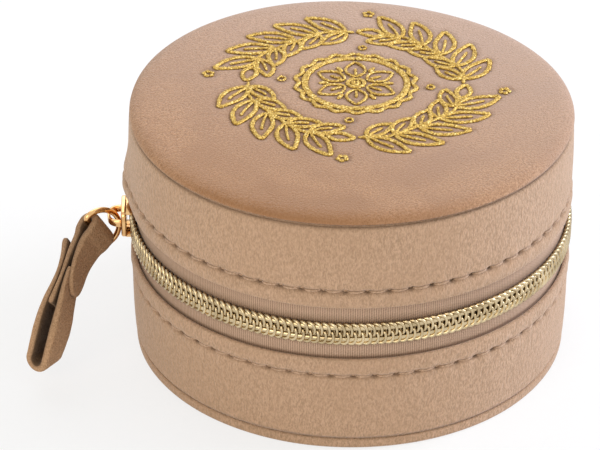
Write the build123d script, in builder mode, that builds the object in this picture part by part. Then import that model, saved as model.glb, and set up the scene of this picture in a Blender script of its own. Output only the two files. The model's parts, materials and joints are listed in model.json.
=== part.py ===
"""Round travel jewelry case: a velvet covered hard case that zips shut, with a cloth
hinge at the back (+Y), a fitted tray in the base, a mirror in the lid, and a velvet
pull tab that hangs on the ring of the zip slider.

Millimetres, +Z up. The origin is the middle of the foot, where the case stands.
Azimuths are degrees about Z from +X. Most pieces are revolved about Z, so a cross
section is drawn with its x outwards and its y up.
"""
import os
from math import cos, degrees, radians, sin, sqrt

from build123d import *

os.makedirs("parts", exist_ok=True)

# ---- The case -------------------------------------------------------------
case_radius = 50.6  # velvet wall beside the foot and beside the top
band_swell = 0.35  # how far each velvet band swells out towards its hem
velvet = 0.6  # velvet without its swell
foot_thickness = 2.4  # covered board under the base
foot_inset = 0.1  # the foot is this much smaller than the wall
foot_rounding = 0.4  # rounded edge of the foot
zip_height = 31.0  # middle of the zip, and axis of the cloth hinge
base_hem_drop = 6.8  # hem of the base band, below the middle of the zip
lid_hem_rise = 6.55  # hem of the lid band, above it
lid_band_rise = 27.1  # top of the lid band, above it
top_thickness = 2.5  # padded velvet cover over the lid
top_rounding = 1.4  # rounded edge of that cover

# ---- Boards, foam and linings inside the walls ----------------------------
board = 1.6  # greyboard of the hoops, the floor and the lid
lining = 0.55  # suede cloth inside
lie = 0.1  # room between layers that lie on each other
seam_depth = 7.4  # how far the zip tape is sewn in under each hem
rim_thickness = 1.8  # wall of the tray insert
rim_rise = 2.5  # the tray's rim stands this far above the middle of the zip
rim_gap = 0.2  # room between the tray and the lining

# ---- Tray -----------------------------------------------------------------
bay_width = 30.0  # middle bay, which holds the ring rolls
divider_thickness = 1.8
pad_thickness = 1.4  # loose pad on the floor of each compartment
roll_count = 7
roll_gap = 0.3
roll_flat = 1.2  # the foam roll is cut flat this far up, where it is glued down
roll_depth = 11.0  # height of a roll above the floor

# ---- Mirror in the lid ----------------------------------------------------
mirror_radius = 35.0
mirror_thickness = 1.8
mirror_chamfer = 0.5
frame_width = 6.0  # velvet covered ring that holds the mirror
frame_lip = 1.3  # how far it laps over the glass
frame_lip_thickness = 0.7

# ---- Zip ------------------------------------------------------------------
hinge_half_angle = 30.0  # the cloth hinge takes the place of the zip here
tape_thickness = 0.5
tape_edge = 1.25  # the tape stops this far short of the middle of the zip
chain_width = 5.6  # over both rows of teeth
tooth_pitch = 1.6
tooth_reach = 0.75  # how far a tooth passes the middle, between two of the others
tooth_heel = 0.74  # width of a tooth where it is sewn to the tape
tooth_neck = 0.56
tooth_head = 0.7
tooth_depth = 1.5  # how far the teeth stand out from the tape
stop_length = 1.2
stop_height = 2.6
stop_wall = 0.55
slider_azimuth = 128.0  # where the slider is parked with the case shut
slider_travel = 284.0  # and how far round it runs to open the case

# ---- Slider ---------------------------------------------------------------
slider_length = 9.4
slider_nose = 7.6  # width across the shoulders
slider_tail = 6.5  # width where the closed chain comes out
wing = 1.3  # thickness of each wing
wing_bevel = 0.45  # around the face of the outer wing
chain_clearance = 0.2  # beside the teeth
chain_headroom = 0.45  # between the teeth and the outer wing
rim_lift = 0.7  # the side rims stop this far above the tape
inner_clearance = 0.4  # under the curved tape
post_width = 2.0
post_length = 3.4
bridge_length = 7.4
bridge_height = 3.4
bridge_width = 1.7
bridge_wall = 0.7

# ---- Pull ring and tab ----------------------------------------------------
ring_wire = 1.3
ring_half_bar = 5.35  # half of the straight bar that carries the tab
ring_leg = 1.2  # straight legs between the bar and the round bow
ring_depth = 5.9  # from the bar to the top of the bow
ring_corner = 0.95
tab_width = 8.6
tab_ply = 1.85  # one ply of folded velvet
tab_gap = 0.12  # between plies
tab_eye_gap = 0.4  # around the ring's bar
tab_length = 31.7  # from the bar to the end of the lower loop
tab_slack = 0.985  # that distance in a straight line, as a share of the length
tab_tip_height = 5.6  # middle of that end, above the table
tab_upper_tail = 17.5  # where the left ply of the upper loop is cut off
tab_upper_tip = 16.0  # where the right ply of it ends
tab_lower_tail = 4.6  # where the outer ply of the lower loop starts
tab_lower_tip = 8.0  # where the inner ply of it ends


def outwards(azimuth):
    """Unit vector away from the axis of the case."""
    return Vector(cos(radians(azimuth)), sin(radians(azimuth)), 0)


def section_plane(azimuth=0.0):
    """Plane of a cross section: x outwards, y up."""
    return Plane(origin=(0, 0, 0), x_dir=outwards(azimuth), z_dir=outwards(azimuth - 90))


def arc_degrees(length, radius):
    """Angle that an arc of this length takes at this radius."""
    return degrees(length / radius)


# ---- Radii and heights that follow ----------------------------------------
band_inner = case_radius - velvet
tape_outer = band_inner - lie
tape_inner = tape_outer - tape_thickness
hoop_outer = tape_inner - lie
hoop_inner = hoop_outer - board
lining_outer = hoop_inner - lie / 2
lining_inner = lining_outer - lining
rim_outer = lining_inner - rim_gap
rim_inner = rim_outer - rim_thickness

base_hem = zip_height - base_hem_drop
lid_hem = zip_height + lid_hem_rise
lid_band_top = zip_height + lid_band_rise
cover_bottom = lid_band_top + lie
cover_top = cover_bottom + top_thickness
hoop_bottom = foot_thickness + lie
floor_top = hoop_bottom + board
tray_floor = floor_top + lie / 2 + lining
base_hoop_top = base_hem - lining - lie
lid_hoop_bottom = lid_hem + lining + lie
lid_board_bottom = lid_band_top - board - lie
lid_hoop_top = lid_board_bottom - lie / 2
ceiling = lid_hoop_top - lining

hinge_start = 90 - hinge_half_angle
hinge_end = 90 + hinge_half_angle
zip_start = hinge_end + arc_degrees(lie * 3, tape_inner)
zip_span = 360 - 2 * (zip_start - 90)

# ---- Base: foot, boards and velvet ----------------------------------------
with BuildPart() as base_disc:
    with BuildSketch(Plane.XY):
        Circle(case_radius - foot_inset)
    extrude(amount=foot_thickness)
    fillet(base_disc.edges(), foot_rounding)

with BuildPart() as base_floor_board:
    with BuildSketch(Plane.XY.offset(hoop_bottom)):
        Circle(hoop_inner - lie)
    extrude(amount=board)

with BuildPart() as base_hoop:
    with BuildSketch(Plane.XY.offset(hoop_bottom)):
        Circle(hoop_outer)
        Circle(hoop_inner, mode=Mode.SUBTRACT)
    extrude(amount=base_hoop_top - hoop_bottom)

# The velvet swells out from its glued edge to its hem, where it is folded over.
hem_fold = (velvet + band_swell) / 2
with BuildPart() as base_band:
    with BuildSketch(section_plane()):
        with BuildLine():
            foot_corner = (case_radius, hoop_bottom)
            hem_corner = (case_radius + band_swell, base_hem - hem_fold)
            fold_end = (band_inner, base_hem - hem_fold)
            swell = SagittaArc(foot_corner, hem_corner, -band_swell * 0.4)
            ThreePointArc(swell @ 1, (band_inner + hem_fold, base_hem), fold_end)
            Polyline(fold_end, (band_inner, hoop_bottom), foot_corner)
        make_face()
    revolve(axis=Axis.Z)

foam_outer = band_inner - lie / 2
foam_inner = hoop_outer + lie / 2
with BuildPart() as base_foam:
    with BuildSketch(Plane.XY.offset(hoop_bottom)):
        Circle(foam_outer)
        Circle(foam_inner, mode=Mode.SUBTRACT)
    extrude(amount=base_hem - seam_depth - lie - hoop_bottom)

# The suede lining is one cup: floor, wall, and a lip turned over the board hoop.
with BuildPart() as base_lining:
    with BuildSketch(section_plane()):
        with BuildLine():
            Polyline(
                (0, floor_top + lie / 2),
                (lining_outer, floor_top + lie / 2),
                (lining_outer, base_hoop_top + lie / 2),
                (hoop_outer, base_hoop_top + lie / 2),
                (hoop_outer, base_hoop_top + lie / 2 + lining),
                (lining_inner, base_hoop_top + lie / 2 + lining),
                (lining_inner, tray_floor),
                (0, tray_floor),
                close=True,
            )
        make_face()
    revolve(axis=Axis.Z)

# ---- Tray: rim, dividers, pads and ring rolls -----------------------------
tray_bottom = tray_floor + lie / 2
with BuildPart() as tray_rim:
    with BuildSketch(Plane.XY.offset(tray_bottom)):
        Circle(rim_outer)
        Circle(rim_inner, mode=Mode.SUBTRACT)
    extrude(amount=zip_height + rim_rise - tray_bottom)
    fillet(tray_rim.edges().group_by(Axis.Z)[-1], rim_thickness * 0.45)

divider_x = (bay_width + divider_thickness) / 2
compartment_x = divider_x + divider_thickness / 2 + lie
divider_half_length = sqrt(rim_inner**2 - (divider_x + divider_thickness / 2) ** 2) - rim_gap
divider_height = base_hem - tray_bottom


def divider_wall(x, y, size_x, size_y, height):
    """Upright velvet covered board with a rounded top edge."""
    with BuildPart() as wall:
        with BuildSketch(Plane.XY.offset(tray_bottom)):
            with Locations((x, y)):
                Rectangle(size_x, size_y)
        extrude(amount=height)
        fillet(wall.edges().group_by(Axis.Z)[-1], min(size_x, size_y) * 0.35)
    return wall


divider_left = divider_wall(-divider_x, 0, divider_thickness, 2 * divider_half_length, divider_height)
divider_right = divider_wall(divider_x, 0, divider_thickness, 2 * divider_half_length, divider_height)

# A short wall halves the left compartment.
cross_end = sqrt(rim_inner**2 - (divider_thickness / 2) ** 2) - rim_gap
cross_length = cross_end - compartment_x
cross_x = -(compartment_x + cross_end) / 2
divider_cross = divider_wall(cross_x, 0, cross_length, divider_thickness, divider_height)


def floor_pad(side, y_from, y_to):
    """Pad cut to the compartment: the tray's circle beyond the divider, between two ends."""
    pad_radius = rim_inner - rim_gap
    with BuildPart() as pad:
        with BuildSketch(Plane.XY.offset(tray_bottom)):
            Circle(pad_radius)
            with Locations((side * (compartment_x + pad_radius), (y_from + y_to) / 2)):
                Rectangle(2 * pad_radius, y_to - y_from, mode=Mode.INTERSECT)
        extrude(amount=pad_thickness)
    return pad


cross_face = divider_thickness / 2 + rim_gap
pad_right = floor_pad(1, -rim_inner, rim_inner)
pad_left_front = floor_pad(-1, -rim_inner, -cross_face)
pad_left_back = floor_pad(-1, cross_face, rim_inner)

# Foam rolls fill the middle bay side by side; rings are pushed in between them.
bay_length = 2 * (sqrt(rim_inner**2 - (bay_width / 2) ** 2) - roll_gap)
roll_width = (bay_length - (roll_count - 1) * roll_gap) / roll_count
roll_radius = roll_width / 2
roll_length = bay_width - 2 * lie
ring_rolls = []
for number in range(roll_count):
    roll_y = (number - (roll_count - 1) / 2) * (roll_width + roll_gap)
    roll_plane = Plane(origin=(-roll_length / 2, roll_y, tray_bottom), x_dir=(0, 1, 0), z_dir=(1, 0, 0))
    with BuildPart() as ring_roll:
        with BuildSketch(roll_plane):
            with Locations((0, roll_depth - roll_radius)):
                Circle(roll_radius)
            with Locations((0, (roll_depth - roll_radius) / 2)):
                Rectangle(2 * (roll_radius - roll_flat), roll_depth - roll_radius)
            with Locations((0, roll_depth / 2)):
                Rectangle(roll_width, roll_depth, mode=Mode.INTERSECT)
        extrude(amount=roll_length)
    ring_rolls.append(ring_roll)

# ---- Lid: boards, foam, velvet, lining and mirror -------------------------
with BuildPart() as lid_hoop:
    with BuildSketch(Plane.XY.offset(lid_hoop_bottom)):
        Circle(hoop_outer)
        Circle(hoop_inner, mode=Mode.SUBTRACT)
    extrude(amount=lid_hoop_top - lid_hoop_bottom)

with BuildPart() as lid_board:
    with BuildSketch(Plane.XY.offset(lid_board_bottom)):
        Circle(hoop_outer)
    extrude(amount=board)

with BuildPart() as lid_band:
    with BuildSketch(section_plane()):
        with BuildLine():
            top_corner = (case_radius, lid_band_top)
            hem_corner = (case_radius + band_swell, lid_hem + hem_fold)
            fold_end = (band_inner, lid_hem + hem_fold)
            swell = SagittaArc(top_corner, hem_corner, band_swell * 0.4)
            ThreePointArc(swell @ 1, (band_inner + hem_fold, lid_hem), fold_end)
            Polyline(fold_end, (band_inner, lid_band_top), top_corner)
        make_face()
    revolve(axis=Axis.Z)

with BuildPart() as lid_foam:
    with BuildSketch(Plane.XY.offset(lid_hem + seam_depth + lie)):
        Circle(foam_outer)
        Circle(foam_inner, mode=Mode.SUBTRACT)
    extrude(amount=lid_band_top - lid_hem - seam_depth - 2 * lie)

# The cover is a shallow cap: a padded skin with its edge turned down on the band.
cover_skin = top_thickness / 2
cap_inner = hoop_outer + lie
foam_top = cover_top - cover_skin - lie / 2
with BuildPart() as top_foam:
    with BuildSketch(Plane.XY.offset(lid_band_top - lie / 2)):
        Circle(hoop_outer)
    extrude(amount=foam_top - (lid_band_top - lie / 2))

with BuildPart() as top_cover:
    with BuildSketch(Plane.XY.offset(cover_bottom)):
        Circle(case_radius)
    extrude(amount=top_thickness)
    fillet(top_cover.edges().group_by(Axis.Z)[-1], top_rounding)
    with BuildSketch(Plane.XY.offset(cover_bottom)):
        Circle(cap_inner)
    extrude(amount=top_thickness - cover_skin, mode=Mode.SUBTRACT)

with BuildPart() as lid_lining:
    with BuildSketch(section_plane()):
        with BuildLine():
            Polyline(
                (0, ceiling + lining - lie / 2),
                (lining_outer, ceiling + lining - lie / 2),
                (lining_outer, lid_hoop_bottom - lie / 2),
                (hoop_outer, lid_hoop_bottom - lie / 2),
                (hoop_outer, lid_hoop_bottom - lie / 2 - lining),
                (lining_inner, lid_hoop_bottom - lie / 2 - lining),
                (lining_inner, ceiling - lie / 2),
                (0, ceiling - lie / 2),
                close=True,
            )
        make_face()
    revolve(axis=Axis.Z)

mirror_back = ceiling - lie
with BuildPart() as mirror:
    with BuildSketch(Plane.XY.offset(mirror_back - mirror_thickness)):
        Circle(mirror_radius)
    extrude(amount=mirror_thickness)
    chamfer(mirror.edges().group_by(Axis.Z)[0], mirror_chamfer)

frame_bottom = mirror_back - mirror_thickness - lie - frame_lip_thickness
frame_inner = mirror_radius - frame_lip
frame_outer = frame_inner + frame_width
with BuildPart() as mirror_frame:
    with BuildSketch(Plane.XY.offset(frame_bottom)):
        Circle(frame_outer)
        Circle(frame_inner, mode=Mode.SUBTRACT)
    extrude(amount=mirror_back - frame_bottom)
    fillet(mirror_frame.edges().group_by(Axis.Z)[0].sort_by(SortBy.RADIUS)[-1], frame_lip_thickness * 2)
    with BuildSketch(Plane.XY.offset(frame_bottom + frame_lip_thickness)):
        Circle(mirror_radius + lie)
    extrude(amount=mirror_back - frame_bottom, mode=Mode.SUBTRACT)

# ---- Cloth hinge at the back ----------------------------------------------
# Outside, velvet fills the gap between the hems and runs in under both of them.
with BuildPart() as hinge_panel:
    with BuildSketch(section_plane(hinge_start)):
        with BuildLine():
            Polyline(
                (tape_inner, base_hem - seam_depth),
                (tape_outer, base_hem - seam_depth),
                (tape_outer, base_hem + lie),
                (case_radius, base_hem + 2 * hem_fold),
                (case_radius, lid_hem - 2 * hem_fold),
                (tape_outer, lid_hem - lie),
                (tape_outer, lid_hem + seam_depth),
                (tape_inner, lid_hem + seam_depth),
                close=True,
            )
        make_face()
    revolve(axis=Axis.Z, revolution_arc=2 * hinge_half_angle)

# Inside, a strip of lining bridges the lips of the two lining cups.
with BuildPart() as hinge_lining:
    with BuildSketch(section_plane(hinge_start)):
        with Locations(((lining_inner + lining_outer) / 2, (base_hem + lid_hem) / 2)):
            Rectangle(lining, lid_hem - base_hem - 2 * lie)
    revolve(axis=Axis.Z, revolution_arc=2 * hinge_half_angle)


# ---- Zip: two tapes, two rows of teeth that mesh, end stops ---------------
def zip_tape(edge_height, sewn_height):
    """Woven tape from its edge beside the teeth to where it is sewn in under a hem."""
    with BuildPart() as tape:
        with BuildSketch(section_plane(zip_start)):
            with Locations(((tape_inner + tape_outer) / 2, (edge_height + sewn_height) / 2)):
                Rectangle(tape_thickness, abs(sewn_height - edge_height))
        revolve(axis=Axis.Z, revolution_arc=zip_span)
    return tape


zip_tape_lower = zip_tape(zip_height - tape_edge, base_hem - seam_depth)
zip_tape_upper = zip_tape(zip_height + tape_edge, lid_hem + seam_depth)

# The closed chain comes out of the slider's tail and runs to the other end of the zip.
slider_half_angle = arc_degrees(slider_length / 2, tape_outer)
chain_start = slider_azimuth + arc_degrees(tooth_pitch / 2, tape_outer)
chain_end = slider_azimuth + slider_travel - slider_half_angle
tooth_angle = arc_degrees(tooth_pitch, tape_outer)
tooth_count = int((chain_end - chain_start) / tooth_angle)
tooth_seat = tape_outer + lie / 5


def zip_teeth(side, first_azimuth):
    """One row of teeth: side is 1 for the row that points down from the lid's tape."""
    heel = side * chain_width / 2
    neck = side * tooth_reach * 1.2
    head = -side * tooth_reach
    with BuildPart() as tooth:
        with BuildSketch(Plane(origin=(tooth_seat, 0, zip_height), x_dir=(0, 1, 0), z_dir=(1, 0, 0))):
            with BuildLine():
                Polyline(
                    (-tooth_heel / 2, heel),
                    (-tooth_neck / 2, neck),
                    (-tooth_head / 2, head),
                    (tooth_head / 2, head),
                    (tooth_neck / 2, neck),
                    (tooth_heel / 2, heel),
                    close=True,
                )
            make_face()
        extrude(amount=tooth_depth)
    with BuildPart() as row:
        with PolarLocations(0, tooth_count, first_azimuth, (tooth_count - 1) * tooth_angle, endpoint=True):
            add(tooth.part)
    return row


zip_coil_lower = zip_teeth(-1, chain_start)
zip_coil_upper = zip_teeth(1, chain_start + tooth_angle / 2)


def zip_stops(side):
    """Metal clips that pinch the tape's edge beyond the slider's two parking places."""
    clip_out = tape_outer + lie / 2 + stop_wall
    clip_in = tape_inner - lie / 2 - stop_wall
    clip_edge = zip_height + side * (tape_edge - lie / 2)
    clip_angle = arc_degrees(stop_length, tape_inner)
    first_clip = zip_start + arc_degrees(lie, tape_inner)
    with BuildPart() as stops:
        for clip_start in (first_clip, 180 - first_clip - clip_angle):
            with BuildSketch(section_plane(clip_start)):
                with Locations(((clip_in + clip_out) / 2, clip_edge + side * (stop_height - stop_wall) / 2)):
                    Rectangle(clip_out - clip_in, stop_height + stop_wall)
                with Locations(((tape_inner + tape_outer) / 2, clip_edge + side * stop_height / 2)):
                    Rectangle(tape_thickness + lie, stop_height, mode=Mode.SUBTRACT)
            revolve(axis=Axis.Z, revolution_arc=clip_angle)
    return stops


zip_stops_lower = zip_stops(-1)
zip_stops_upper = zip_stops(1)

# ---- Slider ---------------------------------------------------------------
slider_out = outwards(slider_azimuth)
slider_along = outwards(slider_azimuth + 90)
chain_outer = tooth_seat + tooth_depth
channel_top = chain_outer + chain_headroom
channel_bottom = tape_inner - inner_clearance
crown = channel_top + wing


def slider_plane(radius):
    """Tangent plane at the slider: x along the zip, away from the nose, y up."""
    origin = slider_out * radius + Vector(0, 0, zip_height)
    return Plane(origin=origin, x_dir=slider_along, z_dir=slider_out)


# Shield shape of the wings: broad shoulders at the nose, narrower at the tail.
half_length = slider_length / 2
half_nose = slider_nose / 2
half_tail = slider_tail / 2
wing_outline = (
    (-half_length, half_nose * 0.35),
    (-half_length, -half_nose * 0.35),
    (-half_length * 0.75, -half_nose),
    (-half_length * 0.3, -half_nose),
    (half_length, -half_tail),
    (half_length, half_tail),
    (-half_length * 0.3, half_nose),
    (-half_length * 0.75, half_nose),
)

with BuildPart() as zip_slider:
    with BuildSketch(slider_plane(channel_bottom - wing)) as inner_wing:
        Polygon(*wing_outline, align=None)
        fillet(inner_wing.vertices(), wing * 0.7)
    extrude(amount=wing)
    with BuildSketch(slider_plane(channel_top)) as outer_wing:
        Polygon(*wing_outline, align=None)
        fillet(outer_wing.vertices(), wing * 0.7)
    extrude(amount=wing)
    outer_face = zip_slider.faces().sort_by(Axis((0, 0, zip_height), slider_out))[-1]
    chamfer(outer_face.edges(), wing_bevel)
    # Side rims hang from the outer wing and keep the teeth in their channel.
    with BuildSketch(slider_plane(tape_outer + rim_lift)) as rims:
        Polygon(*wing_outline, align=None)
        fillet(rims.vertices(), wing * 0.7)
        Rectangle(2 * slider_length, chain_width + 2 * chain_clearance, mode=Mode.SUBTRACT)
    extrude(amount=channel_top - tape_outer - rim_lift)
    # The post joins both wings at the nose, between the two rows that it parts.
    with BuildSketch(slider_plane(channel_bottom)) as post:
        with Locations((-(slider_length - post_length) / 2 + chain_clearance, 0)):
            Ellipse(post_length / 2, post_width / 2)
    extrude(amount=channel_top - channel_bottom)
    # The bridge is an arch along the slider, and the ring passes under it.
    bridge_plane = Plane(
        origin=slider_out * crown + Vector(0, 0, zip_height), x_dir=slider_along, z_dir=-Vector(0, 0, 1)
    )
    with BuildSketch(bridge_plane) as bridge:
        with BuildLine():
            span = Line((-bridge_length / 2, -wing / 2), (bridge_length / 2, -wing / 2))
            ThreePointArc(span @ 1, (0, bridge_height), span @ 0)
        make_face()
        with Locations((0, (bridge_height - bridge_wall) / 2)):
            SlotOverall(bridge_length * 0.56, bridge_height - bridge_wall, mode=Mode.SUBTRACT)
    extrude(amount=bridge_width / 2, both=True)

# ---- Pull ring ------------------------------------------------------------
# A D ring: a straight bar for the tab, two short legs and a round bow that passes
# under the bridge. Directions are shares of: away from the case, along the zip, up.
def slider_way(out, along, up):
    """Unit vector in the slider's own directions."""
    return (slider_out * out + slider_along * along + Vector(0, 0, up)).normalized()


bar_way = slider_way(-0.42, -0.3, -0.85)
ring_face = slider_way(-0.4, 0.9, 0)
bow_way = ring_face.cross(bar_way).normalized()
ring_seat = slider_out * (crown + (bridge_height - bridge_wall) / 2) + Vector(0, 0, zip_height)
bar_middle = ring_seat - bow_way * ring_depth
ring_plane = Plane(origin=bar_middle, x_dir=bar_way, z_dir=bar_way.cross(bow_way))

with BuildPart() as pull_ring:
    with BuildLine(ring_plane) as ring_path:
        legs = Polyline(
            (-ring_half_bar, ring_leg), (-ring_half_bar, 0), (ring_half_bar, 0), (ring_half_bar, ring_leg)
        )
        EllipticalCenterArc((0, ring_leg), ring_half_bar, ring_depth - ring_leg, arc_size=180)
        fillet(ring_path.vertices().group_by(Axis(bar_middle, bow_way))[0], ring_corner)
    ring_start = ring_path.wire()
    with BuildSketch(Plane(origin=ring_start @ 0, z_dir=ring_start % 0)):
        Circle(ring_wire / 2)
    sweep()

# ---- Pull tab -------------------------------------------------------------
# Two loops of velvet are sewn together at their waist. The upper one goes round the
# bar of the ring; the lower one hangs open, twists, and comes to rest on the table.
tab_start_way = slider_way(0.45, 0.75, -0.48)
tab_end_way = slider_way(0.2, 0.4, -0.9)
tab_lean = slider_way(0.57, 0.82, 0)
tab_fall = bar_middle.Z - tab_tip_height
tab_run = sqrt((tab_length * tab_slack) ** 2 - tab_fall**2)
tab_tip = bar_middle + tab_lean * tab_run - Vector(0, 0, tab_fall)
tab_reach = tab_length / 3
tab_poles = (
    bar_middle,
    bar_middle + tab_start_way * tab_reach,
    tab_tip - tab_end_way * tab_reach,
    tab_tip,
)
# The width follows the bar, turns at the waist and turns part of the way back.
tab_wide_poles = (bar_way, slider_way(0.21, -1.17, -0.3) * 1.2, slider_way(-0.32, -0.69, -0.65))


def tab_frame(way):
    """Point, direction, width direction and thickness direction at a share of the tab's length."""
    share = min(max(way / tab_length, 0), 1)
    back = 1 - share
    p0, p1, p2, p3 = tab_poles
    point = p0 * back**3 + p1 * (3 * back**2 * share) + p2 * (3 * back * share**2) + p3 * share**3
    along = (p1 - p0) * back**2 + (p2 - p1) * (2 * back * share) + (p3 - p2) * share**2
    along = along.normalized()
    point += along * (way - share * tab_length)
    w0, w1, w2 = tab_wide_poles
    wide = w0 * back**2 + w1 * (2 * back * share) + w2 * share**2
    wide = (wide - along * wide.dot(along)).normalized()
    return point, along, wide, along.cross(wide)


def ply_loop(stations):
    """Ribbon of velvet lofted along its stations: (way down the tab, offset across, width share)."""
    centres = []
    for way, offset, *width_share in stations:
        point, along, wide, across = tab_frame(way)
        centres.append((point + across * offset, wide, tab_width * (width_share or [1])[0]))
    with BuildPart() as ply:
        for number, (centre, wide, width) in enumerate(centres):
            before = centres[max(number - 1, 0)][0]
            after = centres[min(number + 1, len(centres) - 1)][0]
            with BuildSketch(Plane(origin=centre, x_dir=wide, z_dir=after - before)):
                Rectangle(width, tab_ply)
        loft(ruled=True)
    return ply


def round_end(way, offset):
    """Stations that round off the last corners of a ply, as a half ellipse would."""
    steps = (0.5, 0.8, 0.95)
    return [(way - tab_width / 3 * (1 - step), offset, sqrt(1 - step**2)) for step in steps]


def half_turn(way, middle, radius, direction, steps=6):
    """Stations of the bend at the end of a loop; direction -1 bends back over the top."""
    turns = [180 * step / steps for step in range(1, steps)]
    return [(way + direction * radius * sin(radians(t)), middle - radius * cos(radians(t))) for t in turns]


# At the waist four plies lie on each other: lower, upper, lower, upper.
ply_pitch = tab_ply + tab_gap
eye = ring_wire / 2 + tab_eye_gap + tab_ply / 2
waist = tab_length * 0.36
waist_end = tab_length * 0.5
upper_left = [
    (tab_upper_tail, -ply_pitch * 0.5),
    (waist, -ply_pitch * 0.5),
    (eye * 2, -eye * 0.85),
    (eye, -eye),
    (0, -eye),
]
upper_right = [(0, eye), (eye, eye), (eye * 2, eye * 1.25), (waist, ply_pitch * 1.5)]
upper_right += [(tab_upper_tip - tab_width / 3, ply_pitch * 1.5)] + round_end(tab_upper_tip, ply_pitch * 1.5)
pull_tab_upper = ply_loop(upper_left + half_turn(0, 0, eye, -1) + upper_right)

loop_end = ply_pitch * 1.1
bend_way = tab_length - loop_end - tab_ply / 2
lower_left = [
    (tab_lower_tail, -eye * 0.85 - ply_pitch),
    (waist, -ply_pitch * 1.5),
    (tab_upper_tail, -ply_pitch * 1.5),
    (bend_way, -loop_end),
]
lower_right = [
    (bend_way, loop_end),
    (tab_upper_tail, ply_pitch * 0.6),
    (waist_end, ply_pitch * 0.5),
    (waist, ply_pitch * 0.5),
    (tab_lower_tip, ply_pitch * 0.35),
]
pull_tab_lower = ply_loop(lower_left + half_turn(bend_way, 0, loop_end, 1) + lower_right)

# ---- One file for each piece ----------------------------------------------
pieces = {
    "base_disc": base_disc,
    "base_floor_board": base_floor_board,
    "base_hoop": base_hoop,
    "base_foam": base_foam,
    "base_band": base_band,
    "base_lining": base_lining,
    "tray_rim": tray_rim,
    "divider_left": divider_left,
    "divider_right": divider_right,
    "divider_cross": divider_cross,
    "pad_left_front": pad_left_front,
    "pad_left_back": pad_left_back,
    "pad_right": pad_right,
    "hinge_panel": hinge_panel,
    "hinge_lining": hinge_lining,
    "zip_tape_lower": zip_tape_lower,
    "zip_tape_upper": zip_tape_upper,
    "zip_coil_lower": zip_coil_lower,
    "zip_coil_upper": zip_coil_upper,
    "zip_stops_lower": zip_stops_lower,
    "zip_stops_upper": zip_stops_upper,
    "lid_hoop": lid_hoop,
    "lid_board": lid_board,
    "lid_foam": lid_foam,
    "lid_band": lid_band,
    "lid_lining": lid_lining,
    "top_foam": top_foam,
    "top_cover": top_cover,
    "mirror": mirror,
    "mirror_frame": mirror_frame,
    "zip_slider": zip_slider,
    "pull_ring": pull_ring,
    "pull_tab_upper": pull_tab_upper,
    "pull_tab_lower": pull_tab_lower,
}
for number, ring_roll in enumerate(ring_rolls, start=1):
    pieces[f"ring_roll_{number}"] = ring_roll
for label, piece in pieces.items():
    piece.part.label = label
    export_step(piece.part, f"parts/{label}.step")
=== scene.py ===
import json
import math

import bpy
import numpy as np
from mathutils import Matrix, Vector


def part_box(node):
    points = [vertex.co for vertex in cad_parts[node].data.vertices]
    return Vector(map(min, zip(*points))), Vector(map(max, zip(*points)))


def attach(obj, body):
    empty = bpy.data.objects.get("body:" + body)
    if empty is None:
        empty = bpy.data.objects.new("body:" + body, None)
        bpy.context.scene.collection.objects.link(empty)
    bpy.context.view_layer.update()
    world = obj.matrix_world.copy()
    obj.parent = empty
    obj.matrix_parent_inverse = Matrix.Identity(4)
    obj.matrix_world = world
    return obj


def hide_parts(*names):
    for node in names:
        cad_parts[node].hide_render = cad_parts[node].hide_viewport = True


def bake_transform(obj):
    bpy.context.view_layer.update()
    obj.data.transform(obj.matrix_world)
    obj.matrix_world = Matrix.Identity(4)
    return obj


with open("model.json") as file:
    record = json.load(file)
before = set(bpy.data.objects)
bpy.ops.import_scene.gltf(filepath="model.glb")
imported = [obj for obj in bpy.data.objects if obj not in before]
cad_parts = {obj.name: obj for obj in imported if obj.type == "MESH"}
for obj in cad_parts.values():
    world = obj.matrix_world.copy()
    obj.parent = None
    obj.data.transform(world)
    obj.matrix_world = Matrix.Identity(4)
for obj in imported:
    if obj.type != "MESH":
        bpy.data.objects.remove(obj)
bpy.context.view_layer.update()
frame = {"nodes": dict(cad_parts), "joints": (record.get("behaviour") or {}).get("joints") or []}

mm = 0.001
upright = np.array([0, 0, 1.0])
chance = np.random.default_rng(7)

# Sizes that the whole scene shares, read from the frame.
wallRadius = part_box("top_cover")[1].x
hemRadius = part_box("base_band")[1].x
tapeOuter = -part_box("zip_tape_lower")[0].x
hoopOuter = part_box("base_hoop")[1].x
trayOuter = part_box("tray_rim")[1].x
bandInner = tapeOuter + 0.1 * mm
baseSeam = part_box("base_band")[0].z
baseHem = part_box("base_band")[1].z
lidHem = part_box("lid_band")[0].z
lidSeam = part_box("lid_band")[1].z
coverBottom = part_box("top_cover")[0].z
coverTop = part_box("top_cover")[1].z
zipHeight = (baseHem + lidHem) / 2
joints = {joint["name"]: joint for joint in frame["joints"]}
print("frame loaded, wall radius", round(wallRadius / mm, 2), "mm")


def outwards(azimuth):
    # Unit vectors away from the case's axis, for azimuths in degrees.
    turn = np.radians(azimuth)
    return np.stack([np.cos(turn), np.sin(turn), np.zeros_like(turn)], -1)


def unit(vectors):
    return vectors / np.linalg.norm(vectors, axis=-1, keepdims=True)


def power(values, exponent):
    # Raises the size of each value and keeps its sign.
    return np.sign(values) * np.abs(values) ** exponent


def bell(distance, width):
    # 1 at no distance, falling smoothly to nothing a few widths away.
    return np.exp(-((distance / width) ** 2))


def chaikin(points, times=3):
    # Cuts each corner at a quarter and three quarters of its runs, and keeps both ends.
    for _ in range(times):
        before, after = points[:-1], points[1:]
        cut = np.stack([before * 0.75 + after * 0.25, before * 0.25 + after * 0.75], 1)
        points = np.concatenate([points[:1], cut.reshape(-1, points.shape[1]), points[-1:]])
    return points


def around(azimuth, radius, height):
    # Points at an azimuth, a distance from the case's axis, and a height.
    azimuth, radius, height = np.broadcast_arrays(azimuth, radius, height)
    points = outwards(azimuth) * radius[..., None]
    points[..., 2] = height
    return points


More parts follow.
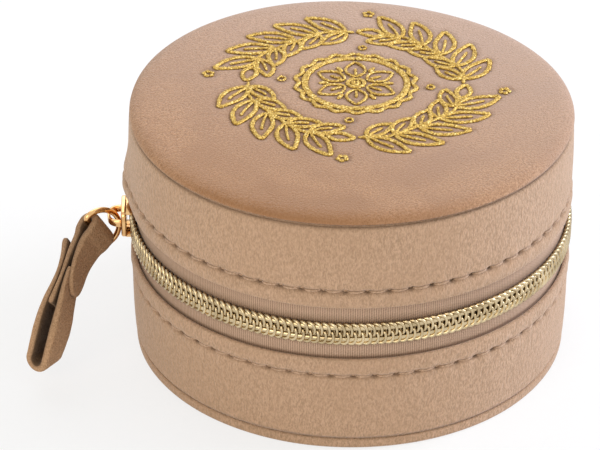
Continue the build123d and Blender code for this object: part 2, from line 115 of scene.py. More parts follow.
def tube(path, reference, across, through, sides=8, roundness=1.0, closed=False):
    # A section carried along a path: its width lies along the reference direction, its thickness across it.
    way = unit(np.roll(path, -1, 0) - np.roll(path, 1, 0) if closed else np.gradient(path, axis=0))
    side = unit(reference - way * np.sum(way * reference, -1, keepdims=True))
    up = np.cross(way, side)
    turn = np.linspace(0, 2 * math.pi, sides, endpoint=False)
    across = np.broadcast_to(across, len(path))[:, None, None]
    through = np.broadcast_to(through, len(path))[:, None, None]
    wide = power(np.cos(turn), roundness)[None, :, None] * side[:, None]
    thick = power(np.sin(turn), roundness)[None, :, None] * up[:, None]
    return path[:, None] + wide * across + thick * through


def standing(name, data):
    # A new object in the scene.
    made = bpy.data.objects.new(name, data)
    bpy.context.scene.collection.objects.link(made)
    return made


def skin(name, grids, ring=False, marks=None, strip=False):
    # Joins the neighbours in each grid of points by quads. Columns close on themselves. Rows close in a
    # ring, or end in fans, or, where a section is a thin strip out and back, in a row of quads across it.
    points, faces, values, offset = [], [], [], 0
    for number, grid in enumerate(grids):
        rows, columns = grid.shape[:2]
        flat = grid.reshape(-1, 3)
        index = np.arange(rows * columns).reshape(rows, columns)
        here, below = (index, np.roll(index, -1, 0)) if ring else (index[:-1], index[1:])
        quads = np.stack([here, np.roll(here, -1, 1), np.roll(below, -1, 1), below], -1).reshape(-1, 4)
        corner = [flat[quads[:, side]] - flat[0] for side in range(4)]
        halves = np.cross(corner[1], corner[2]) + np.cross(corner[2], corner[3])
        step = -1 if np.sum(corner[0] * halves) < 0 else 1      # turns a grid whose volume is negative
        fans = np.zeros((0, 3), int)
        if strip:
            out, back = np.arange(columns // 2 - 1), columns - 1 - np.arange(columns // 2 - 1)
            across = np.stack([out, back, back - 1, out + 1], -1)
            fans = np.concatenate([across, across[:, ::-1] + (rows - 1) * columns])
        elif not ring:
            first, last = np.full(columns, rows * columns), np.full(columns, rows * columns + 1)
            start = np.stack([first, np.roll(index[0], -1), index[0]], -1)
            end = np.stack([last, index[-1], np.roll(index[-1], -1)], -1)
            fans = np.concatenate([start, end])
            flat = np.concatenate([flat, [grid[0].mean(0), grid[-1].mean(0)]])
        faces += (quads[:, ::step] + offset).tolist() + (fans[:, ::step] + offset).tolist()
        points.append(flat)
        offset += len(flat)
        if marks is not None:
            mark = marks[number]
            values.append(mark.ravel())
            if not ring and not strip:
                values.append([mark[0].mean(), mark[-1].mean()])
    mesh = bpy.data.meshes.new(name)
    mesh.from_pydata(np.concatenate(points).tolist(), [], faces)
    mesh.polygons.foreach_set("use_smooth", [len(face) == 4 for face in faces])
    if marks is not None:
        mesh.attributes.new("crease", "FLOAT", "POINT").data.foreach_set("value", np.concatenate(values))
    mesh.update()
    return standing(name, mesh)


def dress(piece, body, slot, material, *nodes):
    # Gives a new piece its material, its body and the CAD nodes that it stands for.
    piece.data.materials.clear()
    piece.data.materials.append(material)
    if body:
        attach(piece, body)
    if nodes:
        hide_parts(*nodes)
    return piece


def paint(material, *nodes):
    # A CAD node that keeps its shape gets a better finish.
    for node in nodes:
        slots = frame["nodes"][node].data.materials
        slots.clear()
        slots.append(material)


class Wire:                                   # a value on its way through a material's nodes
    def __init__(self, recipe, source):
        self.recipe, self.source = recipe, source

    def __add__(self, other):
        return self.recipe.calculate("ADD", self, other)

    def __sub__(self, other):
        return self.recipe.calculate("SUBTRACT", self, other)

    def __mul__(self, other):
        return self.recipe.calculate("MULTIPLY", self, other)


class Recipe:                                 # one material, or the world, and its nodes
    def __init__(self, name, kind=bpy.data.materials):
        self.made = kind.new(name)
        self.made.use_nodes = True
        self.tree = self.made.node_tree
        self.tree.nodes.clear()

    def node(self, kind, settings=None, inputs=None, output=0):
        made = self.tree.nodes.new(kind)
        for name, value in (settings or {}).items():
            if name == "stops":
                ramp = made.color_ramp.elements
                while len(ramp) < len(value):
                    ramp.new(0.5)
                for element, (place, colour) in zip(ramp, value):
                    element.position = place
                    element.color = (*colour, 1)
            else:
                setattr(made, name, value)
        for name, value in (inputs or {}).items():
            entry = made.inputs[name]
            if isinstance(value, Wire):
                self.tree.links.new(value.source, entry)
            else:
                entry.default_value = (*value, 1.0) if entry.type == "RGBA" else value
        return Wire(self, made.outputs[output]) if made.outputs else None

    def calculate(self, operation, *values):
        return self.node("ShaderNodeMath", {"operation": operation}, dict(enumerate(values)))

    def place(self, stretch=(1, 1, 1)):
        where = self.node("ShaderNodeTexCoord", output="Object")
        return self.node("ShaderNodeMapping", {}, {"Vector": where, "Scale": stretch})

    def axes(self):
        parts = self.tree.nodes.new("ShaderNodeSeparateXYZ")
        self.tree.links.new(self.place().source, parts.inputs[0])
        return [Wire(self, part) for part in parts.outputs]

    def seen(self):
        # 1 for a ray that looks straight at the surface, sees it in a shiny one, or sees it through glass.
        straight, shiny, clear = (self.node("ShaderNodeLightPath", output=f"Is {kind} Ray")
                                  for kind in ("Camera", "Glossy", "Transmission"))
        return self.calculate("MAXIMUM", straight, self.calculate("MAXIMUM", shiny, clear))

    def noise(self, place, scale, detail=2.0, roughness=0.5, distortion=0.0):
        values = {"Vector": place, "Scale": scale, "Detail": detail, "Roughness": roughness}
        return self.node("ShaderNodeTexNoise", {}, {**values, "Distortion": distortion})

    def spread(self, value, low, high, toLow=0.0, toHigh=1.0):
        values = {"Value": value, "From Min": low, "From Max": high, "To Min": toLow, "To Max": toHigh}
        return self.node("ShaderNodeMapRange", {"clamp": True}, values)

    def mix(self, share, first, second):
        # Inputs 6 and 7 and output 2 are the colours of a node that also mixes numbers and vectors.
        return self.node("ShaderNodeMix", {"data_type": "RGBA"}, {0: share, 6: first, 7: second}, 2)

    def mark(self, name):
        return self.node("ShaderNodeAttribute", {"attribute_name": name}, output="Fac")

    def bump(self, height, distance):
        return self.node("ShaderNodeBump", {}, {"Height": height, "Distance": distance, "Strength": 1.0})

    def surface(self, colour, roughness, normal=None, **fixed):
        values = {"Base Color": colour, "Roughness": roughness}
        if normal:
            values["Normal"] = normal
        values.update({name.replace("_", " "): value for name, value in fixed.items()})
        shader = self.node("ShaderNodeBsdfPrincipled", {}, values)
        self.node("ShaderNodeOutputMaterial", {}, {"Surface": shader})
        return self.made


def dim(colour, share):
    return [tone * share for tone in colour]


pile = {
    "fibre": 3300,             # fibres to the metre, about
    "lean": 0.42,              # fibres look this much longer along the way they were brushed
    "brush": 38,               # brush marks to the metre
    "sheenWay": 12.0,            # the way towards which the top's painted sheen grows lighter, in degrees
    "relief": 0.00036,
}


def velvetCloth(name, shade, light, brushed, lean=1, sheen=0.35, strokes=0.3, far=None):
    # Short pile: fine fibres and broad brush marks mix three tones. Marked hollows and creases get painted
    # shade, and a far tone adds a painted sheen across the top.
    cloth = Recipe(name)
    fibre = cloth.noise(cloth.place((1, 1, lean)), pile["fibre"], 3, 0.62)
    speck = cloth.noise(cloth.place((1, 1, lean)), pile["fibre"] * 0.55, 2, 0.6)
    cloud = cloth.noise(cloth.place(), pile["brush"], 3, 0.55, 0.6)
    fleck = cloth.spread(fibre * 0.65 + speck * 0.35, 0.41, 0.59)
    colour = cloth.mix(fleck, shade, light)
    colour = cloth.mix(cloth.spread(cloud, 0.40, 0.64) * strokes, colour, brushed)
    if far:
        # painted sheen: the top's tone runs from side to side, lighter towards the back, as the laid pile
        # catches the light there
        x, y, _ = cloth.axes()
        way = outwards(np.array(pile["sheenWay"])) / (2 * wallRadius)
        share = cloth.spread(x * way[0] + y * way[1] + cloud * 0.5 - 0.25, -0.42, 0.48)
        sheenTones = cloth.mix(fleck, dim(far, 0.86), far)
        colour = cloth.mix(share * 0.8, colour, sheenTones)
    # painted shade: marked holes, grooves, creases and tucked rows darken towards a dim copy of the darker
    # tone
    colour = cloth.mix(cloth.mark("crease") * 0.88, colour, dim(shade, 0.24))
    normal = cloth.bump(fibre * 0.6 + speck, pile["relief"])
    roughness = cloth.spread(cloud, 0.3, 0.7, 0.78, 0.92)
    fixed = {"Sheen_Weight": sheen, "Sheen_Roughness": 0.42, "Sheen_Tint": (1.0, 0.93, 0.87)}
    return cloth.surface(colour, roughness, normal, Specular_IOR_Level=0.15, **fixed)


wallVelvet = velvetCloth("wallVelvet", (0.408, 0.263, 0.164), (0.590, 0.386, 0.256), (0.480, 0.305, 0.190),
                         pile["lean"])
# the top's far tone is a painted sheen, lighter towards the back
topVelvet = velvetCloth("topVelvet", (0.350, 0.180, 0.088), (0.560, 0.318, 0.175), (0.340, 0.165, 0.072),
                        strokes=0.75, far=(0.62, 0.440, 0.345))
tabVelvet = velvetCloth("tabVelvet", (0.400, 0.236, 0.128), (0.605, 0.378, 0.222), (0.478, 0.284, 0.157),
                        sheen=0.08)
trayVelvet = velvetCloth("trayVelvet", (0.440, 0.295, 0.205), (0.600, 0.425, 0.315), (0.480, 0.325, 0.228))


def suedeCloth():
    # Brushed lining: a short soft nap in two tones, with broad cloudy wear.
    cloth = Recipe("liningSuede")
    nap = cloth.noise(cloth.place(), 1900, 3, 0.6)
    cloud = cloth.noise(cloth.place(), 60, 3, 0.5, 0.4)
    tone = cloth.spread(nap * 0.6 + cloud * 0.4, 0.36, 0.64)
    colour = cloth.mix(tone, (0.44, 0.315, 0.235), (0.60, 0.450, 0.350))
    roughness = cloth.spread(cloud, 0.3, 0.7, 0.82, 0.95)
    fixed = {"Sheen_Weight": 0.2, "Sheen_Roughness": 0.5, "Specular_IOR_Level": 0.15}
    return cloth.surface(colour, roughness, cloth.bump(nap, 0.00010), **fixed)


liningSuede = suedeCloth()


def wovenTape():
    # Ribs up and down the tape and fine weft across it. The ribs are a sine of the azimuth, so they meet all
    # round, and the weft is a sine of the height that moves on by half a wave at each rib.
    cloth = Recipe("tapeWeave")
    x, y, z = cloth.axes()
    azimuth = cloth.calculate("ARCTAN2", y, x)
    rib = cloth.calculate("SINE", azimuth * zipTape["ribs"]) * 0.5 + 0.5
    weft = cloth.calculate("SINE", z * (2 * math.pi / zipTape["weft"]) + azimuth * zipTape["ribs"] * 0.5)
    fuzz = cloth.noise(cloth.place(), 2600, 2, 0.6)
    cloud = cloth.noise(cloth.place(), 70, 2, 0.5)
    height = rib * 0.6 + (weft * 0.5 + 0.5) * 0.25 + fuzz * 0.4
    tone = cloth.spread(height, 0.25, 0.95)
    colour = cloth.mix(tone, (0.310, 0.200, 0.130), (0.590, 0.400, 0.285))
    # painted shade where the marks say: beside the coil's seam and at the hem
    colour = cloth.mix(cloth.mark("crease") * 0.75, colour, (0.17, 0.10, 0.06))
    roughness = cloth.spread(cloud, 0.3, 0.7, 0.68, 0.85)
    fixed = {"Sheen_Weight": 0.2, "Sheen_Roughness": 0.4, "Specular_IOR_Level": 0.25}
    return cloth.surface(colour, roughness, cloth.bump(height, 0.00012), **fixed)


def platedMetal(name, shade, light, roughness, relief=0.00002, grain=900):
    # Plated metal: a slight change of tone, faint wear in the polish, and a little unevenness.
    metal = Recipe(name)
    tone = metal.noise(metal.place(), 220, 3, 0.6)
    wear = metal.noise(metal.place(), grain, 2, 0.5)
    colour = metal.mix(metal.spread(tone, 0.35, 0.65), shade, light)
    rough = metal.spread(wear * 0.5 + tone * 0.5, 0.3, 0.7, roughness * 0.75, roughness * 1.3)
    return metal.surface(colour, rough, metal.bump(wear, relief), Metallic=1.0)


coilMetal = platedMetal("coilMetal", (0.485, 0.375, 0.215), (0.72, 0.585, 0.37), 0.27)
roseMetal = platedMetal("roseMetal", (0.66, 0.36, 0.14), (0.88, 0.57, 0.27), 0.12, 0.00001)


def goldThread():
    # Metallic thread: bright and dark glints the size of one twist, in a warm yellow.
    thread = Recipe("embroideryGold")
    glint = thread.noise(thread.place(), 2600, 2, 0.7)
    twist = thread.noise(thread.place(), 900, 2, 0.6)
    stops = [(0.34, (0.20, 0.105, 0.015)), (0.45, (0.46, 0.275, 0.050)),
             (0.56, (0.72, 0.49, 0.12)), (0.66, (1.0, 0.88, 0.42))]
    colour = thread.node("ShaderNodeValToRGB", {"stops": stops}, {"Fac": glint * 0.75 + twist * 0.25})
    # painted shade on the satin lines' flanks, where the marks say
    colour = thread.mix(thread.mark("crease") * 0.6, colour, (0.26, 0.14, 0.03))
    rough = thread.spread(glint, 0.35, 0.65, 0.24, 0.5)
    return thread.surface(colour, rough, thread.bump(glint, 0.00025), Metallic=0.72)


embroideryGold = goldThread()


def plainFinish(name, grains, shade, light, roughness, **fixed):
    # Two tones, a roughness and a relief that all follow one grain: its scale, detail and roughness.
    plain = Recipe(name)
    grain = plain.noise(plain.place(), *grains)
    colour = plain.mix(plain.spread(grain, 0.35, 0.65), shade, light)
    rough = plain.spread(grain, 0.3, 0.7, *roughness)
    return plain.surface(colour, rough, plain.bump(grain, 0.0001), **fixed)


hemThread = plainFinish("hemThread", (2400, 2, 0.6), (0.36, 0.22, 0.13), (0.58, 0.39, 0.26), (0.5, 0.75),
                        Sheen_Weight=0.2)
pressedBoard = plainFinish("pressedBoard", (500, 4, 0.65), (0.34, 0.30, 0.25), (0.46, 0.42, 0.37),
                           (0.8, 0.95))


def openFoam():
    foam = Recipe("openFoam")
    cells = foam.node("ShaderNodeTexVoronoi", {}, {"Vector": foam.place(), "Scale": 1500.0})
    colour = foam.mix(foam.spread(cells, 0.1, 0.6), (0.50, 0.47, 0.38), (0.80, 0.77, 0.68))
    return foam.surface(colour, foam.spread(cells, 0.1, 0.6, 0.95, 0.8), foam.bump(cells, 0.0002))


def silveredGlass():
    glass = Recipe("silveredGlass")
    haze = glass.noise(glass.place(), 90, 3, 0.6)
    colour = glass.mix(haze, (0.86, 0.88, 0.89), (0.93, 0.94, 0.94))
    return glass.surface(colour, glass.spread(haze, 0.3, 0.7, 0.01, 0.03), Metallic=1.0)


paint(pressedBoard, "base_hoop", "lid_hoop", "base_floor_board", "lid_board")
paint(openFoam(), "base_foam", "lid_foam", "top_foam")
paint(silveredGlass(), "mirror")
paint(coilMetal, "zip_stops_lower", "zip_stops_upper")
print("materials mixed")

studio = {
    "look": 36.5,              # degrees from +X that the camera looks along
    "down": 31.57,             # degrees that it looks down
    "distance": 671.4 * mm,
    "aim": (-11.7 * mm, 30.14 * mm),   # sideways from the case's axis, and up
    "lens": 172.9,             # millimetres, on a sensor 36 mm wide
    "shift": -0.0162,
    "ambient": 0.56,           # strength of the even light from all round
    "floor": 6.0,              # half the floor's side, in metres
    "white": 0.72,             # share of plain white in what a ray sees of the floor
}
lamps = (   # name, degrees round from the look, degrees up, metres away, size, watts, colour
    ("keyLamp", -76, 32, 1.10, 0.80, 10.2, (0.96, 1.01, 1.16)),
    ("backLamp", 20, 42, 1.20, 0.90, 3.0, (0.97, 1.01, 1.10)),
    ("fillLamp", 150, 26, 1.20, 0.90, 5.0, (1.0, 0.90, 0.72)),
)


def makeStudio():
    # The camera, and three round lamps that look at the case's foot.
    scene = bpy.context.scene
    scene.view_settings.view_transform = "Standard"
    ahead = Vector(outwards(np.array(studio["look"])))
    right = ahead.cross(Vector((0, 0, 1)))
    sideways, up = studio["aim"]
    down = math.radians(studio["down"])
    look = ahead * math.cos(down) - Vector((0, 0, math.sin(down)))
    data = bpy.data.cameras.new("studioCamera")
    camera = standing("studioCamera", data)
    camera.location = right * sideways + Vector((0, 0, up)) - look * studio["distance"]
    camera.rotation_euler = look.to_track_quat("-Z", "Y").to_euler()
    data.sensor_width = 36
    data.lens = studio["lens"]
    data.shift_y = studio["shift"]
    data.clip_start, data.clip_end = 0.01, 20
    scene.camera = camera
    for name, turn, rise, distance, size, watts, colour in lamps:
        lamp = bpy.data.lights.new(name, "AREA")
        lamp.shape, lamp.size, lamp.energy, lamp.color = "DISK", size, watts, colour
        holder = standing(name, lamp)
        level = Vector(outwards(np.array(float(studio["look"] + turn))))
        way = level * math.cos(math.radians(rise)) + Vector((0, 0, math.sin(math.radians(rise))))
        holder.location = way * distance
        holder.rotation_euler = (-way).to_track_quat("-Z", "Y").to_euler()
        holder.visible_camera = False


def makeBackground():
    # The room lights the case evenly, and whatever looks straight at it sees plain white.
    room = Recipe("whiteRoom", bpy.data.worlds)
    bpy.context.scene.world = room.made
    strength = room.spread(room.seen(), 0, 1, studio["ambient"], 1)
    light = room.node("ShaderNodeBackground", {}, {"Color": (1, 1, 1), "Strength": strength})
    room.node("ShaderNodeOutputWorld", {}, {"Surface": light})


def makeFloor():
    # A pale floor: most of what a camera or a shiny surface sees of it is plain white, and the rest keeps
    # the shadow.
    far = studio["floor"]
    mesh = bpy.data.meshes.new("paleFloor")
    mesh.from_pydata([(-far, -far, 0), (far, -far, 0), (far, far, 0), (-far, far, 0)], [], [(0, 1, 2, 3)])
    floor = standing("paleFloor", mesh)
    paper = Recipe("palePaper")
    grain = paper.noise(paper.place(), 400, 2, 0.5)
    colour = paper.mix(grain, (0.90, 0.90, 0.90), (0.94, 0.94, 0.94))
    matt = paper.node("ShaderNodeBsdfDiffuse", {}, {"Color": colour})
    glow = paper.node("ShaderNodeEmission", {}, {"Color": (1, 1, 1), "Strength": 1.0})
    mixed = paper.node("ShaderNodeMixShader", {}, {0: paper.seen() * studio["white"], 1: matt, 2: glow})
    paper.node("ShaderNodeOutputMaterial", {}, {"Surface": mixed})
    mesh.materials.append(paper.made)
    mesh.update()


makeStudio()
makeBackground()
makeFloor()
print("studio set")

band = {
    "stitches": 66,            # round the case
    "columns": 16,             # to each stitch
    "seamRound": 1.3 * mm,     # rounded edge at the foot and at the top
    "swell": 1.4,              # the wall leans out to its hem as this power of the way
    "panelPuff": 0.24 * mm,    # how far the padding lifts the panel and the hem
    "hemPuff": 0.336 * mm,
    "groove": 0.55 * mm,       # how far the stitching pulls the velvet in
    "grooveWidth": 0.55 * mm,
    "hole": 0.60 * mm,         # needle holes, deeper again
    "holeWidth": 0.42 * mm,
    "pucker": 0.13 * mm,       # waves that the stitches draw beside the groove
    "puckerWidth": 2.2 * mm,
    "wander": 0.16 * mm,       # the wall isn't quite round
    "baseStitch": 19.6 * mm,
    "lidStitch": 41.7 * mm,
    "flare": 1.6 * mm,         # the lid's velvet is pushed out above the parked slider
    "flareAzimuth": 126.5,
    "flareSpan": 8.0,          # degrees
    "flareRise": 3.8 * mm,     # above the hem
    "flareTall": 5.5 * mm,
    "thread": 0.24 * mm,
    "slant": 0.35 * mm,        # of one stitch, and how far it strays
    "stray": 0.06 * mm,
    "edgeRows": 1.6 * mm,      # rows stand closer up to here from the glued edge,
    "nearRows": 1.8 * mm,      # and this far to both sides of the stitching
    "seamShade": 0.45 * mm,    # width of the painted shade line where the velvet goes in at its glued edge
    "backRise": 1.4 * mm,      # how far the lid's top rises towards the hinge
}
bands = (                      # body, node, glued edge, hem, stitching, seed of its waves, flare
    ("base", "base_band", baseSeam, baseHem, band["baseStitch"], 0.3, 0.0),
    ("lid", "lid_band", lidSeam, lidHem, band["lidStitch"], 1.7, band["flare"]),
)
wallAzimuth = np.linspace(0, 360, band["stitches"] * band["columns"], endpoint=False)


def wander(azimuth, seed):
    # A few slow waves round the case.
    turn = np.radians(azimuth)
    waves = ((1.0, 3, 1.0), (0.6, 7, 2.1), (0.35, 13, 3.7))
    return sum(size * np.sin(count * turn + shift * seed) for size, count, shift in waves) / 2


def backRise(y):
    # The lid's top stands a little higher towards the hinge, as the square of the distance from the middle.
    return band["backRise"] * np.clip(y / wallRadius, 0, 1) ** 2


def bandWall(reach, azimuth, length, stitchReach, seed):
    # Radius of the velvet at a reach from its glued edge: a swelling panel, a stitched groove and a puffed
    # hem. The panel and the hem each bulge as a parabola that is nothing at both ends.
    radius = wallRadius + (hemRadius - wallRadius) * (reach / length) ** band["swell"] + 0 * azimuth
    panel = np.clip(reach / stitchReach, 0, 1)
    hem = np.clip((reach - stitchReach) / (length - stitchReach), 0, 1)
    radius = radius + band["panelPuff"] * 4 * panel * (1 - panel) + band["hemPuff"] * 4 * hem * (1 - hem)
    edge = np.clip(1 - reach / band["seamRound"], 0, 1)
    radius = radius - band["seamRound"] * (1 - np.sqrt(1 - edge**2))
    stitch = azimuth / 360 * band["stitches"] + seed
    pull = np.cos(2 * math.pi * stitch)
    nearLine = bell(reach - stitchReach, band["grooveWidth"])
    fromHole = (stitch - np.round(stitch)) * 360 / band["stitches"] * math.radians(1) * hemRadius
    hole = bell(fromHole, band["holeWidth"] * 1.5) * bell(reach - stitchReach, band["holeWidth"])
    radius = radius - band["groove"] * nearLine * (0.75 + 0.25 * pull) - band["hole"] * hole
    radius = radius - band["pucker"] * pull * bell(reach - stitchReach, band["puckerWidth"]) * (1 - nearLine)
    radius = radius + band["wander"] * wander(azimuth, seed) * panel
    # the second value is painted shade: in the needle holes, along the stitched groove and at the glued edge
    return radius, np.clip(hole + nearLine * 0.30 + bell(reach, band["seamShade"]) * 0.75, 0, 1)


def velvetBand(name, body, node, seam, hem, stitchHeight, seed, flare):
    # Rows from the glued edge down the outside, round the fold at the hem, and back up the inside.
    length, stitchReach = abs(hem - seam), abs(stitchHeight - seam)
    upwards = 1 if hem > seam else -1
    fold = (hemRadius - bandInner) / 2
    near = band["nearRows"]
    knots = (0, band["edgeRows"], stitchReach - near, stitchReach + near, length - fold)
    spans = zip(knots, knots[1:], (8, 13, 22, 6))
    reach = np.concatenate([np.linspace(*ends, count, endpoint=False) for *ends, count in spans])
    reach = np.append(reach, length - fold)[:, None]
    radius, crease = bandWall(reach, wallAzimuth[None], length, stitchReach, seed)
    turn = np.linspace(0, math.pi, 9)[1:, None]
    half = (radius[-1] - bandInner) / 2
    foldRadius = bandInner + half + half * np.cos(turn)
    foldReach = length - fold + fold * np.sin(turn)
    insideReach = np.linspace(length - fold, 0, 4)[1:, None]
    level = 0 * wallAzimuth[None]
    reaches = np.concatenate([reach, foldReach, insideReach]) + level
    radii = np.concatenate([radius, foldRadius, bandInner + 0 * insideReach + level])
    paintedShades = np.concatenate([crease, 0 * foldRadius, 0 * insideReach + level])
    heights = seam + upwards * reaches
    if body == "lid":
        share = np.clip(1 - reaches / stitchReach, 0, 1)
        heights = heights + backRise(wallRadius * np.sin(np.radians(wallAzimuth)))[None] * share
    outside = np.clip((radii - bandInner) / (0.5 * mm), 0, 1)
    besides = bell(wallAzimuth[None] - band["flareAzimuth"], band["flareSpan"])
    radii = radii + flare * outside * besides * bell(heights - hem - band["flareRise"], band["flareTall"])
    piece = skin(name, [around(wallAzimuth[None], radii, heights)], ring=True, marks=[paintedShades])
    dress(piece, body, "velvet", wallVelvet, node)


def hemStitches(name, body, seam, hem, stitchHeight, seed):
    # One thread from needle hole to needle hole: it dives in at both ends and lies on the groove between.
    length, stitchReach = abs(hem - seam), abs(stitchHeight - seam)
    share = np.linspace(0.10, 0.90, 7)
    grids = []
    for number in range(band["stitches"]):
        azimuth = (number + share - seed) * 360 / band["stitches"]
        radius, _ = bandWall(np.full(7, stitchReach), azimuth, length, stitchReach, seed)
        radius = radius + band["thread"] * (np.sin(share * math.pi) * 1.15 - 0.45)
        slant = (share - 0.5) * band["slant"] + band["stray"] * math.sin(number * 2.4)
        path = around(azimuth, radius, stitchHeight + slant)
        thick = band["thread"] * np.sin(np.linspace(0.25, 0.75, 7) * math.pi)
        grids.append(tube(path, upright, thick * 1.15, thick, 6))
    dress(skin(name, grids), body, "velvet", hemThread)


for body, node, *sizes in bands:
    velvetBand(f"{body}Velvet", body, node, *sizes)
for body, _, *sizes, _ in bands:
    hemStitches(f"{body}Stitches", body, *sizes)
print("velvet bands sewn")

zipTape = {
    "ribs": 612,               # warp ribs in a full turn
    "weft": 0.42 * mm,
    "ribDepth": 0.05 * mm,
    "span": 299.3,             # degrees round the case
    "sag": 0.06 * mm,
    "thick": 0.5 * mm,
    "sewn": 1.5 * mm,          # the coil's sewing, from the tape's edge
    "sewnShade": 0.55 * mm,    # widths of the two painted shade lines
    "hemShade": 0.42 * mm,
}
tapeWeave = wovenTape()


def zipTapePiece(name, node, body):
    # A ribbed strip: its outside waves with the ribs, and it gets painted shade beside the coil's seam and at
    # the hem.
    low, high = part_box(node)[0].z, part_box(node)[1].z
    start = 90 + (360 - zipTape["span"]) / 2
    azimuth = np.linspace(start, start + zipTape["span"], int(zipTape["span"] * zipTape["ribs"] / 360 * 5))
    share = np.linspace(0, 1, 9)
    edge, sewn, hem = (high, low, baseHem) if body == "base" else (low, high, lidHem)
    # nine even rows outside, three more about the hem, and three inside
    outside = np.sort(np.append(sewn + (edge - sewn) * share, hem + np.array([-0.4, 0, 0.4]) * mm))
    outside = outside if sewn < edge else outside[::-1]
    heights = np.concatenate([outside, outside[[-1, 5, 0]]])
    rib = np.cos(np.radians(azimuth) * zipTape["ribs"])[:, None]
    sag = np.sin((outside - sewn) / (edge - sewn) * math.pi)[None]
    outer = tapeOuter - zipTape["ribDepth"] * (0.5 + 0.5 * rib) - zipTape["sag"] * sag
    inner = np.full((len(azimuth), 3), tapeOuter - zipTape["thick"])
    # painted shade: a line under the coil's heels beside its seam, and a darker one where the hem overhangs
    # the tape
    crease = 0.5 * bell(np.abs(outside - edge) - zipTape["sewn"], zipTape["sewnShade"])
    crease += 0.95 * bell(outside - hem, zipTape["hemShade"])
    mark = np.concatenate([crease, np.zeros(3)])[None] + 0 * azimuth[:, None]
    points = around(azimuth[:, None], np.concatenate([outer, inner], 1), heights[None])
    dress(skin(name, [points], marks=[mark]), body, "zip_tape", tapeWeave, node)


zipTapePiece("lowerTape", "zip_tape_lower", "base")
zipTapePiece("upperTape", "zip_tape_upper", "lid")

coil = {
    "pitch": 1.6 * mm,
    "count": 151,
    "first": 128.92,           # azimuth of the lower row's first head
    "heel": 2.80 * mm,         # from the middle of the zip to the heel of a loop
    "head": 0.75 * mm,         # how far a head passes the middle
    "wire": 0.365 * mm,
    "bulge": 0.085 * mm,       # the wire is this much thicker at its head and its heel
    "bend": 0.30,              # the share of a turn over which a bend crosses over
    "cross": 1.5,              # pitches that the bend at the heel moves on
    "cordRise": 1.45 * mm,     # from the middle of the zip to the filler cord
    "cordWide": 0.62 * mm,
    "cordThick": 0.40 * mm,
    "steps": 16,
}
chainOuter = -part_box("zip_coil_lower")[0].x


def stairs(turns):
    # Climbs by one at every whole turn, smoothly, and is level between.
    nearest = np.round(turns)
    step = np.clip((turns - nearest) / (2 * coil["bend"]) + 0.5, 0, 1)
    return nearest + step * step * (3 - 2 * step)


def zipCoil(name, node, body, side, shift):
    # One wire wound in flattened loops: from the heel over the top to the head, and back beneath.
    # Its azimuth stays still along the legs. As smooth steps, it moves on round the heel and part of the way
    # back round the head, so the legs beneath lie between those on top.
    pitchAngle = math.degrees(coil["pitch"] / tapeOuter)
    turns = np.arange(coil["count"] * coil["steps"] + 1) / coil["steps"]
    angle = turns * 2 * math.pi
    moved = coil["cross"] * stairs(turns) - (coil["cross"] - 1) * stairs(turns - 0.5)
    azimuth = coil["first"] + (moved - coil["cross"] + shift) * pitchAngle
    wire = coil["wire"] + coil["bulge"] * np.clip(np.cos(angle), 0, 1) ** 2
    heel, head = coil["heel"] - coil["wire"], -coil["head"] + coil["wire"]
    rise = (heel + head) / 2 + (heel - head) / 2 * power(np.cos(angle), 0.75)
    depth = (chainOuter - tapeOuter) / 2
    radius = tapeOuter + depth + (depth - coil["wire"]) * power(np.sin(angle), 0.8)
    path = around(azimuth, radius, zipHeight + side * rise)
    along = outwards(azimuth + 90)
    # a filler cord lies inside the loops
    course = np.linspace(azimuth[0] + pitchAngle, azimuth[-1] - pitchAngle, 600)
    cord = around(course, tapeOuter + depth, zipHeight + side * coil["cordRise"])
    filler = tube(cord, upright, coil["cordWide"], coil["cordThick"], 8)
    dress(skin(name, [tube(path, along, wire, wire, 6), filler]), body, "zip_teeth", coilMetal, node)


zipCoil("lowerCoil", "zip_coil_lower", "base", -1, 0.0)
zipCoil("upperCoil", "zip_coil_upper", "lid", 1, 0.5)
print("zip wound")

embroidery = {
    "centre": (7.5 * mm, 4.1 * mm),
    "turn": 36.5,              # degrees
    "height": 0.42 * mm,
    "step": 0.22 * mm,         # one satin stitch
    "ringRadius": 11.8 * mm,
    "scallops": 18,            # round the ring
    "scallop": 0.5 * mm,
    "eyes": ((1.9 * mm, 60), (0.7 * mm, 30)),  # small rings in the blossom, and their points
    "petals": 6,
    "petal": (7.0 * mm, 4.6 * mm),             # length and width, as for each leaf below
    "petalFoot": 3.0 * mm,
    "ray": (6.2 * mm, 8.6 * mm),               # between the petals
    "stemRadius": 24.6 * mm,
    "sway": 0.7 * mm,          # of a stem, three half waves along it
    "sprays": 4,
    "spraySpan": 74.0,         # degrees of one spray of leaves
    "leafPairs": 5,
    "outerLeaf": (11.6 * mm, 4.6 * mm),
    "innerLeaf": (8.2 * mm, 3.8 * mm),
    "tipLeaf": (6.4 * mm, 3.2 * mm),
    "knots": ((34.2 * mm, 1.5 * mm), (17.2 * mm, 1.1 * mm)),   # between the sprays: place and reach
    "line": 1.15 * mm,         # width of a satin line
    "vein": 0.75 * mm,
    "sink": 0.30 * mm,         # how far the thread pulls the pile down
    "cell": 0.5 * mm,          # side of a cell in the map of pressed pile, and the width of its blur
    "blur": 0.9 * mm,
}
cover = {
    "rings": 112,
    "columns": 560,
    "flatRadius": 46.4 * mm,
    "edgeDrop": 1.75 * mm,
    "edgePower": 0.85,         # below 1 makes the rounded edge fuller than an ellipse
    "wander": 0.12 * mm,
    "wave": 0.10 * mm,
    "crown": 0.12 * mm,
    "thick": 1.08 * mm,        # of the velvet over its foam
}


def planar(radius, azimuth):
    turn = np.radians(azimuth)
    return np.stack([radius * np.cos(turn), radius * np.sin(turn)], -1)


